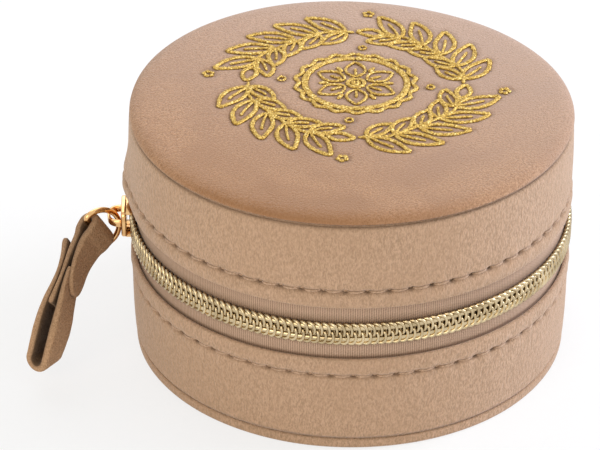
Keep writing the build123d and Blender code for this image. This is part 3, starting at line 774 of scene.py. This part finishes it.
def leafLines(base, heading, length, width, bend):
    # A curved midrib, and two edges that leave it by a sine of the way along: out to half the width and back.
    count = 40
    share = np.linspace(0, 1, count)
    turn = np.radians(heading + bend * share)
    steps = np.stack([np.cos(turn), np.sin(turn)], -1) * (length / (count - 1))
    rib = np.asarray(base) + np.cumsum(steps, 0) - steps[0]
    out = width / 2 * np.sin(math.pi * share**0.85) ** 0.9
    across = np.stack([-np.sin(turn), np.cos(turn)], -1) * out[:, None]
    return rib, rib + across, rib - across


def circle(radius, count=160, scallop=0.0):
    azimuth = np.linspace(0, 360, count)
    return planar(radius + scallop * np.cos(np.radians(azimuth) * embroidery["scallops"]), azimuth)


def embroideryLines():
    # Every satin line of the design, as points in plan and a width: a blossom in a ring, inside a wreath.
    line, vein, ring = (embroidery[key] for key in ("line", "vein", "ringRadius"))
    petals, sprays, pairs, sweep = (embroidery[key] for key in ("petals", "sprays", "leafPairs", "spraySpan"))
    lines = [(circle(ring), line * 1.5), (circle(ring * 1.15, scallop=embroidery["scallop"]), line)]
    lines += [(circle(radius, count), line) for radius, count in embroidery["eyes"]]
    for number in range(petals):
        azimuth = number * 360 / petals
        foot = planar(embroidery["petalFoot"], azimuth)
        rib, left, right = leafLines(foot, azimuth, *embroidery["petal"], 0)
        lines += [(left, vein), (right, vein), (rib[4:22], vein)]
        lines.append((planar(np.linspace(*embroidery["ray"], 12), azimuth + 180 / petals), line))
    for number in range(sprays):
        start = number * 360 / sprays
        stem = np.linspace(start, start + sweep, 90)
        sway = embroidery["sway"] * np.sin(np.radians((stem - start) / sweep * 540))
        lines.append((planar(embroidery["stemRadius"] + sway, stem), vein * 1.15))
        for pair in range(pairs):
            azimuth = start + (pair + 0.35) * sweep / pairs
            base = planar(embroidery["stemRadius"], azimuth)
            for leaf, lean, bend in (("outerLeaf", 38, 22), ("innerLeaf", 142, -26)):
                rib, left, right = leafLines(base, azimuth + lean, *embroidery[leaf], bend)
                lines += [(left, line), (right, line), (rib[:26], vein)]
        tip = planar(embroidery["stemRadius"], start + sweep)
        _, left, right = leafLines(tip, start + sweep + 84, *embroidery["tipLeaf"], 14)
        lines += [(left, line), (right, line)]
        middle = start - (360 / sprays - sweep) / 2
        for radius, reach in embroidery["knots"]:
            knot = planar(radius, middle + 2)
            rays = [planar(np.linspace(0.5 * mm, reach, 8), petal * 72.0 + middle) for petal in range(5)]
            lines += [(knot + ray, line * 1.25) for ray in rays]
    return lines


def placeLines(lines):
    turn = math.radians(embroidery["turn"])
    across = np.array([[math.cos(turn), math.sin(turn)], [-math.sin(turn), math.cos(turn)]])
    return [(points @ across + np.array(embroidery["centre"]), width) for points, width in lines]


def evenSteps(points, step):
    # The same path with its points a stitch apart.
    gaps = np.linalg.norm(np.diff(points, axis=0), axis=1)
    way = np.concatenate([[0], np.cumsum(gaps)])
    places = np.linspace(0, way[-1], max(int(way[-1] / step), 5))
    return np.stack([np.interp(places, way, points[:, axis]) for axis in range(2)], -1)


def pressMap(lines):
    # How much thread lies on each cell of the top, blurred by a bell a little wider than a line.
    cells = int(2 * wallRadius / embroidery["cell"])
    count = np.zeros((cells, cells))
    for points, width in lines:
        spots = evenSteps(points, embroidery["cell"])
        index = np.clip(((spots + wallRadius) / embroidery["cell"]).astype(int), 0, cells - 1)
        np.add.at(count, (index[:, 0], index[:, 1]), 1.0)
    kernel = bell(np.arange(-4, 5) * embroidery["cell"], embroidery["blur"])
    blur = np.apply_along_axis(np.convolve, 0, count, kernel, "same")
    blur = np.apply_along_axis(np.convolve, 1, blur, kernel, "same")
    return np.clip(blur / 2.2, 0, 1)


def pressed(x, y, press):
    # Reads the press map between its cells.
    cells = press.shape[0]
    u = np.clip((x + wallRadius) / embroidery["cell"] - 0.5, 0, cells - 1.001)
    v = np.clip((y + wallRadius) / embroidery["cell"] - 0.5, 0, cells - 1.001)
    i, j = u.astype(int), v.astype(int)
    a, b = u - i, v - j
    front = press[i, j] * (1 - a) + press[i + 1, j] * a
    back = press[i, j + 1] * (1 - a) + press[i + 1, j + 1] * a
    return front * (1 - b) + back * b


def coverHeight(x, y):
    # Nearly flat: a slight crown, a few slow waves that only lower it, and a rise towards the hinge.
    radius = np.hypot(x, y) / wallRadius
    waves = np.sin(x * 95 + 1.3) * np.sin(y * 80 + 0.4)
    return coverTop - cover["crown"] * radius**2 + cover["wave"] * (waves - 1) * 0.5 + backRise(y)


def topCover(lines):
    # Rings from the middle out over the rounded edge, in under it, and back along the underside.
    press = pressMap(lines)
    azimuth = np.linspace(0, 360, cover["columns"], endpoint=False)[None]
    rings = np.linspace(0.3 * mm, cover["flatRadius"], cover["rings"])[:, None]
    x, y = rings * np.cos(np.radians(azimuth)), rings * np.sin(np.radians(azimuth))
    down = pressed(x, y, press)
    top = np.stack([x, y, coverHeight(x, y) - embroidery["sink"] * down], -1)
    turn = np.linspace(0, math.pi / 2, 13)[1:, None]
    rimHeight = coverHeight(x[-1], y[-1])[None]
    reach = wallRadius + cover["wander"] * wander(azimuth, 4.2) - cover["flatRadius"]
    edgeRadius = cover["flatRadius"] + reach * np.sin(turn) ** cover["edgePower"]
    edgeHeight = rimHeight - cover["edgeDrop"] * (1 - np.cos(turn) ** cover["edgePower"])
    low, inside = coverBottom + 0.04 * mm, coverTop - cover["thick"]
    under = np.array([(wallRadius - 0.15 * mm, coverBottom + 0.22 * mm), (wallRadius - 0.7 * mm, low),
                      (hoopOuter + 0.15 * mm, low), (hoopOuter + 0.12 * mm, inside), (20 * mm, inside),
                      (1 * mm, inside)])
    underRadius = under[:, :1] + 0 * azimuth
    underHeight = under[:, 1:] + backRise(underRadius * np.sin(np.radians(azimuth)))
    edge, back = around(azimuth, edgeRadius, edgeHeight), around(azimuth, underRadius, underHeight)
    # painted shade on the first rows tucked in under the edge, and in the pile pressed down round the threads
    tucked = np.repeat([0.8, 0.0], (2, 4))[:, None] + 0 * azimuth
    shade = np.concatenate([down * 0.28, 0 * edgeRadius, tucked])
    piece = skin("topVelvetCover", [np.concatenate([top, edge, back])], marks=[shade])
    dress(piece, "lid", "velvet", topVelvet, "top_cover")


def satinLine(points, width):
    # A low dome carried along the line, cut into stitches of uneven width and height.
    path = evenSteps(points, embroidery["step"])
    count = len(path)
    way = np.gradient(path, axis=0)
    way /= np.linalg.norm(way, axis=1, keepdims=True)
    across = np.stack([-way[:, 1], way[:, 0]], -1)
    turn = np.linspace(0, 2 * math.pi, 8, endpoint=False)
    taper = np.clip(np.minimum(np.arange(count), np.arange(count)[::-1]) / 3 + 0.45, 0, 1)
    uneven = 0.80 + 0.40 * chance.random(count)
    half = (width / 2 * taper * uneven)[:, None]
    rise = (embroidery["height"] * taper * (0.65 + 0.7 * chance.random(count)))[:, None]
    sideways = path[:, None] + across[:, None] * (half * np.cos(turn)[None])[..., None]
    lift = np.where(np.sin(turn) > 0, np.sin(turn), 0.5 * np.sin(turn))[None] * rise
    heights = coverHeight(sideways[..., 0], sideways[..., 1]) - embroidery["sink"] * 0.5 + lift
    # painted shade on the flanks and underside of each stitch, where it meets the pile
    dark = np.clip(0.75 - np.sin(turn), 0, 1)[None] + np.zeros((count, 1))
    return np.concatenate([sideways, heights[..., None]], -1), dark


lines = placeLines(embroideryLines())
topCover(lines)
satin, shades = zip(*(satinLine(points, width) for points, width in lines))
dress(skin("goldEmbroidery", satin, marks=shades), "lid", "gold_metal", embroideryGold)
print("top embroidered with", len(lines), "satin lines")

ringSeat = np.array(joints["ring_swing"]["pos_m"])
barMiddle = np.array(joints["tab_swing"]["pos_m"])
barWay = np.array(joints["tab_swing"]["axis"])
sliderOut = ringSeat * (1, 1, 0) / np.linalg.norm(ringSeat[:2])
sliderAlong = np.cross(upright, sliderOut)
bowWay = np.cross(np.cross(barWay, ringSeat - barMiddle), barWay)
bowWay /= np.linalg.norm(bowWay)
pullRing = {
    "wire": 0.68 * mm,         # radius
    "halfBar": 5.35 * mm,
    "leg": 1.2 * mm,
    "depth": 5.9 * mm,
    "corner": 0.95 * mm,
}
pullTab = {
    "width": 8.6 * mm,
    "ply": 2.05 * mm,
    "pitch": 2.05 * mm,        # from ply to ply where they are sewn together
    "length": 33.3 * mm,
    "slack": 0.985,            # straight from the bar to the tip, as a share of that length
    "tip": 3.9 * mm,           # height of the middle of the lower loop's end
    "eye": 1.78 * mm,          # from the ring's bar to the middle of a ply
    "waist": 12.2 * mm,
    "press": 0.40,             # the stitching presses the plies thinner there, by this share
    "pressSpan": 5.6 * mm,
    "meet": 8.3 * mm,          # where the upper loop's plies meet below the ring
    "upperTail": 18.2 * mm,    # where each loop's two ends are cut off
    "upperTip": 15.2 * mm,
    "lowerTail": 5.4 * mm,
    "lowerTip": 10.5 * mm,
    "loop": 2.05 * mm,         # half the width of the gap in the lower loop, to the middle of a ply
    "slim": 0.36,              # the grip is this share narrower at its fold
    "slimFrom": 20.0 * mm,
    "step": 0.3 * mm,
    "columns": 44,
    "startWay": (0.45, 0.468, -0.387),   # out from the wall, along the zip, up
    "endWay": (0.223, -0.365, -0.9),
    "waistWide": (-0.164, -1.138, -0.002),
    "endWide": (-0.27, -0.23, 0.20),
    "lean": (0.542, 0.82, 0.0),
}


def sliderWay(parts):
    out, along, up = parts
    return unit(sliderOut * out + sliderAlong * along + np.array([0, 0, up]))


def arc(middle, reach, start, end, count):
    # Points of an ellipse about the middle, between two angles in degrees.
    turn = np.radians(np.linspace(start, end, count))
    return np.stack([middle[0] + reach[0] * np.cos(turn), middle[1] + reach[1] * np.sin(turn)], -1)


def dRing():
    # A straight bar, two eased corners, two short legs, and a bow that is half an ellipse.
    half, leg, depth, corner = (pullRing[key] for key in ("halfBar", "leg", "depth", "corner"))
    left = arc((corner - half, corner), (corner, corner), 180, 270, 10)
    right = arc((half - corner, corner), (corner, corner), 270, 360, 10)
    bow = arc((0, leg), (half, depth - leg), 0, 180, 70)
    loop = evenSteps(np.concatenate([left, right, bow, left[:1]]), 0.15 * mm)[:-1]
    path = barMiddle + loop[:, :1] * barWay + loop[:, 1:] * bowWay
    normal = np.cross(barWay, bowWay)
    grid = tube(path, normal, pullRing["wire"], pullRing["wire"], 20, closed=True)
    dress(skin("dRing", [grid], ring=True), "ring", "gold_metal", roseMetal, "pull_ring")


def tabFrame(way):
    # Point, direction, width and thickness on the tab's middle line, a cubic between the bar and the tip.
    start, end = sliderWay(pullTab["startWay"]), sliderWay(pullTab["endWay"])
    fall = barMiddle[2] - pullTab["tip"]
    run = math.sqrt((pullTab["length"] * pullTab["slack"]) ** 2 - fall**2)
    tip = barMiddle + sliderWay(pullTab["lean"]) * run - np.array([0, 0, fall])
    reach = pullTab["length"] / 3
    poles = (barMiddle, barMiddle + start * reach, tip - end * reach, tip)
    share = np.clip(way / pullTab["length"], 0, 1)[:, None]
    back = 1 - share
    weights = (back**3, 3 * back**2 * share, 3 * back * share**2, share**3)
    point = sum(pole * weight for pole, weight in zip(poles, weights))
    weights = (back**2, 2 * back * share, share**2)
    along = unit(sum((after - before) * weight for before, after, weight in zip(poles, poles[1:], weights)))
    point = point + along * (way[:, None] - share * pullTab["length"])
    wides = (barWay, sliderWay(pullTab["waistWide"]) * 1.2, sliderWay(pullTab["endWide"]))
    wide = sum(pole * weight for pole, weight in zip(wides, weights))
    wide = unit(wide - along * np.sum(wide * along, -1, keepdims=True))
    return point, along, wide, np.cross(along, wide)


def plyLoop(name, stations, node, innerSide):
    # A ribbon of padded velvet along (way down the tab, offset across the plies), with soft edges. It is
    # pressed thin at the waist; it has painted shade on its inner side and a painted shadow of the case near
    # the ring.
    course = evenSteps(chaikin(np.array(stations), 3), pullTab["step"])
    way, count = course[:, 0], len(course)
    point, along, wide, across = tabFrame(way)
    pressed = 1 - pullTab["press"] * bell(way - pullTab["waist"], pullTab["pressSpan"])
    path = point + across * course[:, 1:] * pressed[:, None]
    order = np.arange(count)
    ends = np.clip(np.minimum(order, order[::-1]) / 3.0, 0, 1)
    ease = np.sqrt(1 - (1 - ends) ** 2) * 0.35 + 0.65
    ripple = 1 + 0.035 * np.sin(order * 0.21 + 1.0) + 0.02 * np.sin(order * 0.53)
    width = 0.97 + 0.03 * ease
    if node == "pull_tab_upper":
        # its outer end is rounded, as a quarter of an ellipse
        left = np.clip(order[::-1] * pullTab["step"] / (pullTab["width"] / 1.7), 0.02, 1)
        width = width * np.sqrt(1 - (1 - left) ** 2)
    else:
        # the grip narrows towards its fold, and its near edge stays straight
        share = np.clip((way - pullTab["slimFrom"]) / (pullTab["length"] - pullTab["slimFrom"]), 0, 1)
        slim = pullTab["slim"] * share**1.5
        path = path - wide * slim[:, None] * pullTab["width"] / 2
        width = width * (1 - slim)
    columns = pullTab["columns"]
    thick = pullTab["ply"] / 2 * ease * ripple * pressed
    grid = tube(path, wide, pullTab["width"] / 2 * width, thick, columns, 0.36)
    # painted shade on the loops' inner faces, and a painted shadow of the case over the tab's upper part that
    # fades down it
    inside = np.clip(innerSide * np.sin(np.linspace(0, 2 * math.pi, columns, endpoint=False)) * 2.2, 0, 1)
    caseShadow = np.clip(0.36 - way / pullTab["length"] * 0.42, 0, 1)
    piece = skin(name, [grid], marks=[np.clip(caseShadow[:, None] + inside[None], 0, 1)])
    dress(piece, "tab", "velvet", tabVelvet, node)


def halfTurn(way, radius, direction):
    turn = np.radians(np.arange(15, 180, 15))
    return [(way + direction * radius * math.sin(t), -radius * math.cos(t)) for t in turn]


def velvetTab():
    # Two loops of one strap, sewn together at the waist: the ring hangs in the upper one, and the lower one
    # is the grip.
    pitch, eye, waist, meet, tail = (pullTab[key] for key in ("pitch", "eye", "waist", "meet", "upperTail"))
    left = [(tail, -pitch * 0.5), (waist, -pitch * 0.5), (meet, -pitch * 0.5), (eye * 2.0, -eye * 0.5),
            (eye * 1.1, -eye * 0.95), (0, -eye)]
    right = [(0, eye), (eye * 1.1, eye * 0.95), (eye * 2.0, eye * 0.55), (meet, pitch * 0.6),
             (waist, pitch * 1.4), (pullTab["upperTip"], pitch * 1.45)]
    plyLoop("upperLoop", left + halfTurn(0, eye, -1) + right, "pull_tab_upper", -1)
    loop = pullTab["loop"]
    bend = pullTab["length"] - loop - pullTab["ply"] * 0.85
    left = [(pullTab["lowerTail"], -eye * 0.85 - pitch), (meet, -pitch * 1.4), (waist, -pitch * 1.45),
            (tail, -pitch * 1.35), (bend, -loop)]
    right = [(bend, loop), (tail, pitch * 0.75), (waist, pitch * 0.5), (pullTab["lowerTip"], pitch * 0.45)]
    plyLoop("lowerLoop", left + halfTurn(bend, loop, 1) + right, "pull_tab_lower", 1)


dRing()
velvetTab()
print("ring and tab hung")

liningInner = trayOuter + 0.2 * mm
linen = 0.55 * mm              # thickness of the lining cloth
axisGap = 0.4 * mm             # covers start this far from the axis, and a fan closes them
allRound = np.linspace(0, 360, 300, endpoint=False)


def eased(corners, reach, steps=5, closed=False):
    # A path whose corners are rounded by a parabola that starts this far before each of them.
    corners = np.array(corners, float)
    count, path = len(corners), []
    for number in range(count):
        here = corners[number]
        if not closed and number in (0, count - 1):
            path.append(here[None])
            continue
        before, after = corners[number - 1] - here, corners[(number + 1) % count] - here
        first, second = (way * min(reach / np.linalg.norm(way), 0.45) for way in (before, after))
        share = np.linspace(0, 1, steps)[:, None]
        path.append(here + first * (1 - share) ** 2 + second * share**2)
    return np.concatenate(path)


def turned(name, profile, ring=False, wave=0.0):
    # A profile of (radius, height) points turned about the case's axis, a little out of round.
    profile = np.array(profile)
    radius = profile[:, :1] + wave * wander(allRound[None], len(profile))
    return skin(name, [around(allRound[None], radius, profile[:, 1:])], ring=ring)


def block(low, high, edge, crown):
    # An upright wall between two corners of a box: its sections stand across its longer side and shrink at
    # both ends.
    longer = int(high[1] - low[1] > high[0] - low[0])
    across = 1 - longer
    half, tall = (high - low)[across] / 2, high[2] - low[2]
    outline = [(-half, 0), (half, 0), (half, tall), (0, tall + crown), (-half, tall)]
    section = eased(outline, edge, closed=True)
    turn = np.linspace(0, math.pi / 2, 5)
    inset, start = edge * (1 - np.sin(turn)), edge * (1 - np.cos(turn))
    inset = np.concatenate([inset, np.zeros(24), inset[::-1]])[:, None]
    straight = np.linspace(low[longer] + edge, high[longer] - edge, 26)[1:-1]
    place = np.concatenate([low[longer] + start, straight, high[longer] - start[::-1]])
    grid = np.zeros((len(place), len(section), 3))
    grid[..., longer] = place[:, None]
    grid[..., across] = (low + high)[across] / 2 + section[:, 0] * (half - inset) / half
    grid[..., 2] = low[2] + section[:, 1] * (tall - inset) / tall
    return grid


def corners(node):
    return [np.array(corner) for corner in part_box(node)]


def makeLinings():
    # Two cups of brushed cloth, each with a lip turned over the edge of its hoop.
    for body, way, reach in (("base", 1, 1.1 * mm), ("lid", -1, 0.9 * mm)):
        node = f"{body}_lining"
        low, high = corners(node)
        floor, lip = (low[2], high[2])[::way]
        outside, cloth = liningInner + linen, way * linen
        path = [(axisGap, floor + cloth), (liningInner, floor + cloth), (liningInner, lip), (hoopOuter, lip),
                (hoopOuter, lip - cloth), (outside, lip - cloth), (outside, floor), (axisGap, floor)]
        rows = eased(path, reach)
        inner, outer = np.linspace(rows[0], rows[1], 14), np.linspace(rows[-2], rows[-1], 8)
        piece = turned(f"{body}LiningCup", np.concatenate([inner[:-1], rows[1:-2], outer]))
        dress(piece, body, "lining", liningSuede, node)


tray = {
    "wall": 1.8 * mm,
    "edge": 0.75 * mm,
    "puff": 0.18 * mm,
    "padGap": 2.0 * mm,        # from the outside of the wall to a pad
    "padCrown": 1.1 * mm,
    "padEdge": 0.55 * mm,
    "rollPinch": 0.7 * mm,     # the rolls narrow towards the floor
    "rollTaper": (0.16, 0.10),  # and at their two ends, in width and in height
}


def makeTray():
    # A round wall with a padded rim, and three covered boards that divide it.
    low, high = corners("tray_rim")
    wall = tray["wall"]
    inner, shoulder = trayOuter - wall, high[2] - wall / 2
    path = [(inner, low[2]), (trayOuter, low[2]), (trayOuter, shoulder),
            (trayOuter - wall / 2, high[2] + tray["puff"]), (inner, shoulder)]
    piece = turned("trayWall", eased(path, tray["edge"], closed=True), ring=True)
    dress(piece, "base", "tray_velvet", trayVelvet, "tray_rim")
    for side in ("left", "right", "cross"):
        node = f"divider_{side}"
        piece = skin(f"{side}Divider", [block(*corners(node), tray["edge"], tray["puff"])])
        dress(piece, "base", "tray_velvet", trayVelvet, node)


def padOutline(node):
    # The compartment's outline: the tray's circle, cut off by the box of the pad.
    low, high = corners(node)
    turn = np.radians(np.linspace(0, 360, 240, endpoint=False))
    middle = (low[:2] + high[:2]) / 2
    way = np.stack([np.cos(turn), np.sin(turn)], -1)
    far = np.full(len(turn), 1.0)
    for axis in range(2):
        for limit in (low[axis], high[axis]):
            with np.errstate(divide="ignore"):
                gap = (limit - middle[axis]) / way[:, axis]
            far = np.where(gap > 0, np.minimum(far, gap), far)
    inner = trayOuter - tray["padGap"]
    along = way @ middle
    toCircle = -along + np.sqrt(np.maximum(along**2 + inner**2 - middle @ middle, 0))
    return middle, way * np.minimum(far, toCircle)[:, None]


air = {
    "scale": 40.0,             # the solver is meant for pieces of about a metre
    "quality": 6,
    "mass": 0.3,
    "stiffness": 12,
    "bending": 0.6,
    "pressure": 4.0,
    "moments": 20,
}


def inflate(piece, pins, reach):
    # Cloth filled with air: the pinned points stay, and no other moves further than the reach.
    mesh, world = piece.data, bpy.context.scene
    rest = np.empty(len(mesh.vertices) * 3)
    mesh.vertices.foreach_get("co", rest)
    rest = rest.reshape(-1, 3)
    middle = rest.mean(0)
    mesh.vertices.foreach_set("co", ((rest - middle) * air["scale"]).ravel())
    group = piece.vertex_groups.new(name="pins")
    group.add(pins.tolist(), 1.0, "REPLACE")
    cloth = piece.modifiers.new("air", "CLOTH")
    settings = cloth.settings
    settings.quality = air["quality"]
    settings.mass = air["mass"]
    settings.tension_stiffness = settings.compression_stiffness = air["stiffness"]
    settings.bending_stiffness = air["bending"]
    settings.use_pressure = True
    settings.uniform_pressure_force = air["pressure"]
    settings.vertex_group_mass = "pins"
    settings.effector_weights.gravity = 0
    cloth.collision_settings.use_collision = False
    for moment in range(air["moments"]):
        world.frame_set(moment + 1)
    after = np.empty_like(rest).ravel()
    piece.evaluated_get(bpy.context.evaluated_depsgraph_get()).data.vertices.foreach_get("co", after)
    piece.modifiers.remove(cloth)
    piece.vertex_groups.remove(group)
    world.frame_set(1)
    step = after.reshape(-1, 3) / air["scale"] + middle - rest
    far = np.linalg.norm(step, axis=1, keepdims=True)
    step *= np.minimum(1, reach / np.maximum(far, 1e-9))
    mesh.vertices.foreach_set("co", (rest + step).ravel())
    mesh.update()


def makePads():
    # A floor pad for each compartment: flat under, with a rolled edge, and a top that air has swollen.
    under, top = np.linspace(0.02, 0.94, 9), np.linspace(0.94, 0.02, 26)
    turn = np.radians(np.linspace(-90, 90, 9))
    side = 1 - tray["padEdge"] / (12 * mm) * (1 - np.cos(turn))
    shrink = np.concatenate([under, side, top])[:, None, None]
    rise = np.concatenate([0 * under, (1 + np.sin(turn)) / 2, 0 * top + 1])[:, None, None]
    for name, place in (("leftFront", "left_front"), ("leftBack", "left_back"), ("right", "right")):
        node = f"pad_{place}"
        low, high = corners(node)
        middle, rim = padOutline(node)
        flat = middle + rim * (shrink - 0.015)
        grid = np.concatenate([flat, low[2] + (high[2] - low[2]) * rise + 0 * flat[..., :1]], -1)
        piece = skin(f"{name}Pad", [grid])
        # pinned from the middle of its floor to half way up its edge
        pins = np.append(np.arange((len(under) + 5) * len(rim)), len(grid) * len(rim))
        inflate(piece, pins, tray["padCrown"])
        dress(piece, "base", "tray_velvet", trayVelvet, node)


def makeRolls():
    # Foam rolls in velvet: round on top, drawn in towards the floor, and a little fuller at the middle of
    # their length.
    turn = np.radians(np.linspace(0, 180, 19))
    share = np.linspace(-1, 1, 33)[:, None]
    narrow, lower = (taper * np.abs(share) ** 7 for taper in tray["rollTaper"])
    for number in range(1, 8):
        node = f"ring_roll_{number}"
        low, high = corners(node)
        middle, reach = (low + high) / 2, (high - low) / 2
        half, tall = reach[1], high[2] - low[2]
        top = np.stack([half * np.cos(turn), tall - half + half * np.sin(turn)], -1)
        foot = half - tray["rollPinch"]
        drawn = [top[-1], (-foot, tall * 0.25), (-foot, 0), (foot, 0), (foot, tall * 0.25), top[0]]
        section = np.concatenate([top, eased(drawn, 0.9 * mm)[1:-1]])
        swell = np.minimum(1 - narrow + 0.012 * np.sin(share * 9 + number), 1.0)
        grid = np.zeros((len(share), len(section), 3))
        grid[..., 0] = middle[0] + reach[0] * np.sin(share * math.pi / 2)
        grid[..., 1] = middle[1] + section[:, 0] * swell
        grid[..., 2] = low[2] + section[:, 1] * (1 - lower)
        piece = skin(f"ringRoll{number}", [grid])
        dress(piece, "base", "tray_velvet", trayVelvet, node)


mirrorFrame = {"wide": 6.0 * mm, "seat": 4.6 * mm, "lip": 0.7 * mm}   # seat: from its outside to the glass


def makeMirrorFrame():
    # A padded ring that laps over the edge of the glass.
    low, high = corners("mirror_frame")
    outer, lip = high[0], low[2] + mirrorFrame["lip"]
    inner, glass = outer - mirrorFrame["wide"], outer - mirrorFrame["seat"]
    path = [(inner, lip), (inner, low[2] + 0.2 * mm), ((inner + outer) / 2, low[2] - 0.15 * mm),
            (outer, low[2] + 0.3 * mm), (outer, high[2]), (glass, high[2]), (glass, lip)]
    piece = turned("mirrorSurround", eased(path, 0.7 * mm, closed=True), ring=True)
    dress(piece, "lid", "tray_velvet", trayVelvet, "mirror_frame")


def makeFoot():
    # A covered board: flat under, with the velvet drawn round its edge.
    low, high = corners("base_disc")
    edge = high[0]
    path = eased([(axisGap, low[2]), (edge, low[2]), (edge, high[2]), (axisGap, high[2])], 0.75 * mm)
    path = np.concatenate([np.linspace(path[0], path[1], 12)[:-1], path[1:]])
    dress(turned("footCover", path, wave=0.06 * mm), "base", "velvet", wallVelvet, "base_disc")


hinge = {
    "first": 60.05,            # degrees
    "last": 119.95,
    "columns": 90,
    "rows": 46,                # between the hems
    "hemRows": 6,              # under each hem
    "liningRows": 30,
    "fold": 0.22 * mm,
    "cloth": 0.5 * mm,
}


def hingeStrip(name, node, radius, height, thickness, material, slot):
    # Cloth that bridges the gap at the back. Its sections run round the case, out on one face and back on
    # the other.
    azimuth = np.linspace(hinge["first"], hinge["last"], hinge["columns"])[None]
    radius, height = radius[:, None], height[:, None]
    crumple = hinge["fold"] * np.sin(azimuth * 0.9) * np.sin(azimuth * 0.23 + 1)
    gap = np.sin(math.pi * np.clip((height - baseHem) / (lidHem - baseHem), 0, 1))
    outer = around(azimuth, radius + crumple * gap, height)
    inner = around(azimuth, radius - thickness + crumple * gap, height)
    piece = skin(name, [np.concatenate([outer, inner[:, ::-1]], 1)], strip=True)
    dress(piece, None, slot, material, node)
    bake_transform(piece)


def makeHinge():
    # Velvet that swells out between the hems, with a crease at the middle, and plain lining behind it.
    low, high = corners("hinge_panel")
    under, hem = tapeOuter - 0.02 * mm, hinge["hemRows"]
    span = np.linspace(0, 1, hinge["rows"])
    swell = np.sin(math.pi * span) ** 0.5 * (1 - 0.35 * bell(span - 0.5, 0.07))
    radius = np.pad(under + (wallRadius - 0.05 * mm - under) * swell, hem, constant_values=under)
    height = np.concatenate([np.linspace(low[2], baseHem, hem + 1)[:-1], baseHem + (lidHem - baseHem) * span,
                             np.linspace(lidHem, high[2], hem + 1)[1:]])
    hingeStrip("hingeVelvet", "hinge_panel", radius, height, hinge["cloth"], wallVelvet, "velvet")
    low, high = corners("hinge_lining")
    height = np.linspace(low[2], high[2], hinge["liningRows"])
    radius = liningInner + linen + 0 * height
    hingeStrip("hingeSuede", "hinge_lining", radius, height, linen, liningSuede, "lining")


makeLinings()
makeTray()
makePads()
makeRolls()
makeMirrorFrame()
makeFoot()
makeHinge()
print("inside fitted and hinge sewn")

slider = {
    "length": 9.4 * mm,
    "nose": 7.6 * mm,
    "tail": 6.5 * mm,
    "corner": 1.3 * mm,
    "wing": 1.3 * mm,
    "round": 0.42 * mm,
    "channel": (tapeOuter - 0.9 * mm, chainOuter + 0.45 * mm),   # from wing to wing, as radii
    "bridgeLength": 7.4 * mm,
    "bridgeHeight": 3.4 * mm,
    "bridgeWidth": 1.7 * mm,
    "bridgeWall": 0.7 * mm,
    "post": (3.4 * mm, 2.0 * mm),
    "postGap": 0.2 * mm,       # from the nose's end
    "sink": 0.2 * mm,          # how far the post runs into the wings
    "rims": ((0.42 * mm, 0.36 * mm), (0.30 * mm, 0.24 * mm)),   # at nose and tail: inset and half the width
    "rimSink": 0.3 * mm,
    "lip": 0.7 * mm,           # the side rims stop this far above the tape
}


def sliderPlace(along, up, radius):
    # Points of the slider: along the zip, up from its middle, and out from the case's axis.
    along, up, radius = (part[..., None] for part in np.broadcast_arrays(along, up, radius))
    return sliderOut * radius + sliderAlong * along + upright * (zipHeight + up)


def sliderWing(outline, low, high):
    # A plate with rounded edges: the outline shrinks by a quarter circle towards both faces.
    edge = slider["round"]
    turn = np.linspace(0, math.pi / 2, 6)
    inset = np.concatenate([edge * (1 - np.sin(turn)), edge * (1 - np.cos(turn[1:]))])[:, None, None]
    level = np.concatenate([low + edge * (1 - np.cos(turn)), high - edge * (1 - np.sin(turn[1:]))])
    flat = outline * (1 - inset / np.array([slider["length"], slider["nose"]]) * 2)
    return sliderPlace(flat[..., 0], flat[..., 1], level[:, None])


def makeSlider():
    # Two shield-shaped wings, side rims under the outer one, a post at the nose, and an arched bridge.
    half, nose, tail, wing = slider["length"] / 2, slider["nose"] / 2, slider["tail"] / 2, slider["wing"]
    side = [(-half, nose * 0.35), (-half * 0.75, nose), (-half * 0.3, nose), (half, tail)]
    other = [(along, -up) for along, up in side]
    outline = eased(side[:1] + other + side[:0:-1], slider["corner"], closed=True)
    inside, outside = slider["channel"]
    grids = [sliderWing(outline, outside, outside + wing), sliderWing(outline, inside - wing, inside)]
    low, high = tapeOuter + slider["lip"], outside + slider["rimSink"]
    (noseInset, noseHalf), (tailInset, tailHalf) = slider["rims"]
    path = [(-half * 0.7, nose - noseInset), (-half * 0.3, nose - noseInset),
            (half - 0.5 * mm, tail - tailInset)]
    for side in (-1, 1):
        line = eased(path, 1 * mm) * (1, side)
        wide = np.where(line[:, 0] < -half * 0.25, noseHalf, tailHalf)
        middle = sliderPlace(line[:, 0], line[:, 1], (low + high) / 2)
        grids.append(tube(middle, sliderOut, (high - low) / 2, wide, 16, 0.4))
    turn = np.radians(np.linspace(0, 360, 24, endpoint=False))
    long, wide = slider["post"]
    along = long / 2 * np.cos(turn) - (slider["length"] - long) / 2 + slider["postGap"]
    levels = np.array([[inside - slider["sink"]], [outside + slider["sink"]]])
    grids.append(sliderPlace(along, wide / 2 * np.sin(turn), levels))
    # the bridge's middle line is a flattened half ellipse, and it is thicker at its two feet
    wall = slider["bridgeWall"]
    arch = np.radians(np.linspace(0, 180, 40))
    along = (slider["bridgeLength"] / 2 - wall / 2) * power(np.cos(arch), 0.8)
    lift = (slider["bridgeHeight"] - wall / 2) * power(np.sin(arch), 0.75) - 0.1 * mm
    thick = wall / 2 * (1 + 0.5 * np.abs(np.cos(arch)) ** 2)
    path = sliderPlace(along, 0.0, outside + wing + lift)
    grids.append(tube(path, upright, slider["bridgeWidth"] / 2, thick, 16, 0.55))
    dress(skin("zipPuller", grids), "slider", "gold_metal", roseMetal, "zip_slider")


makeSlider()
print("slider cast")
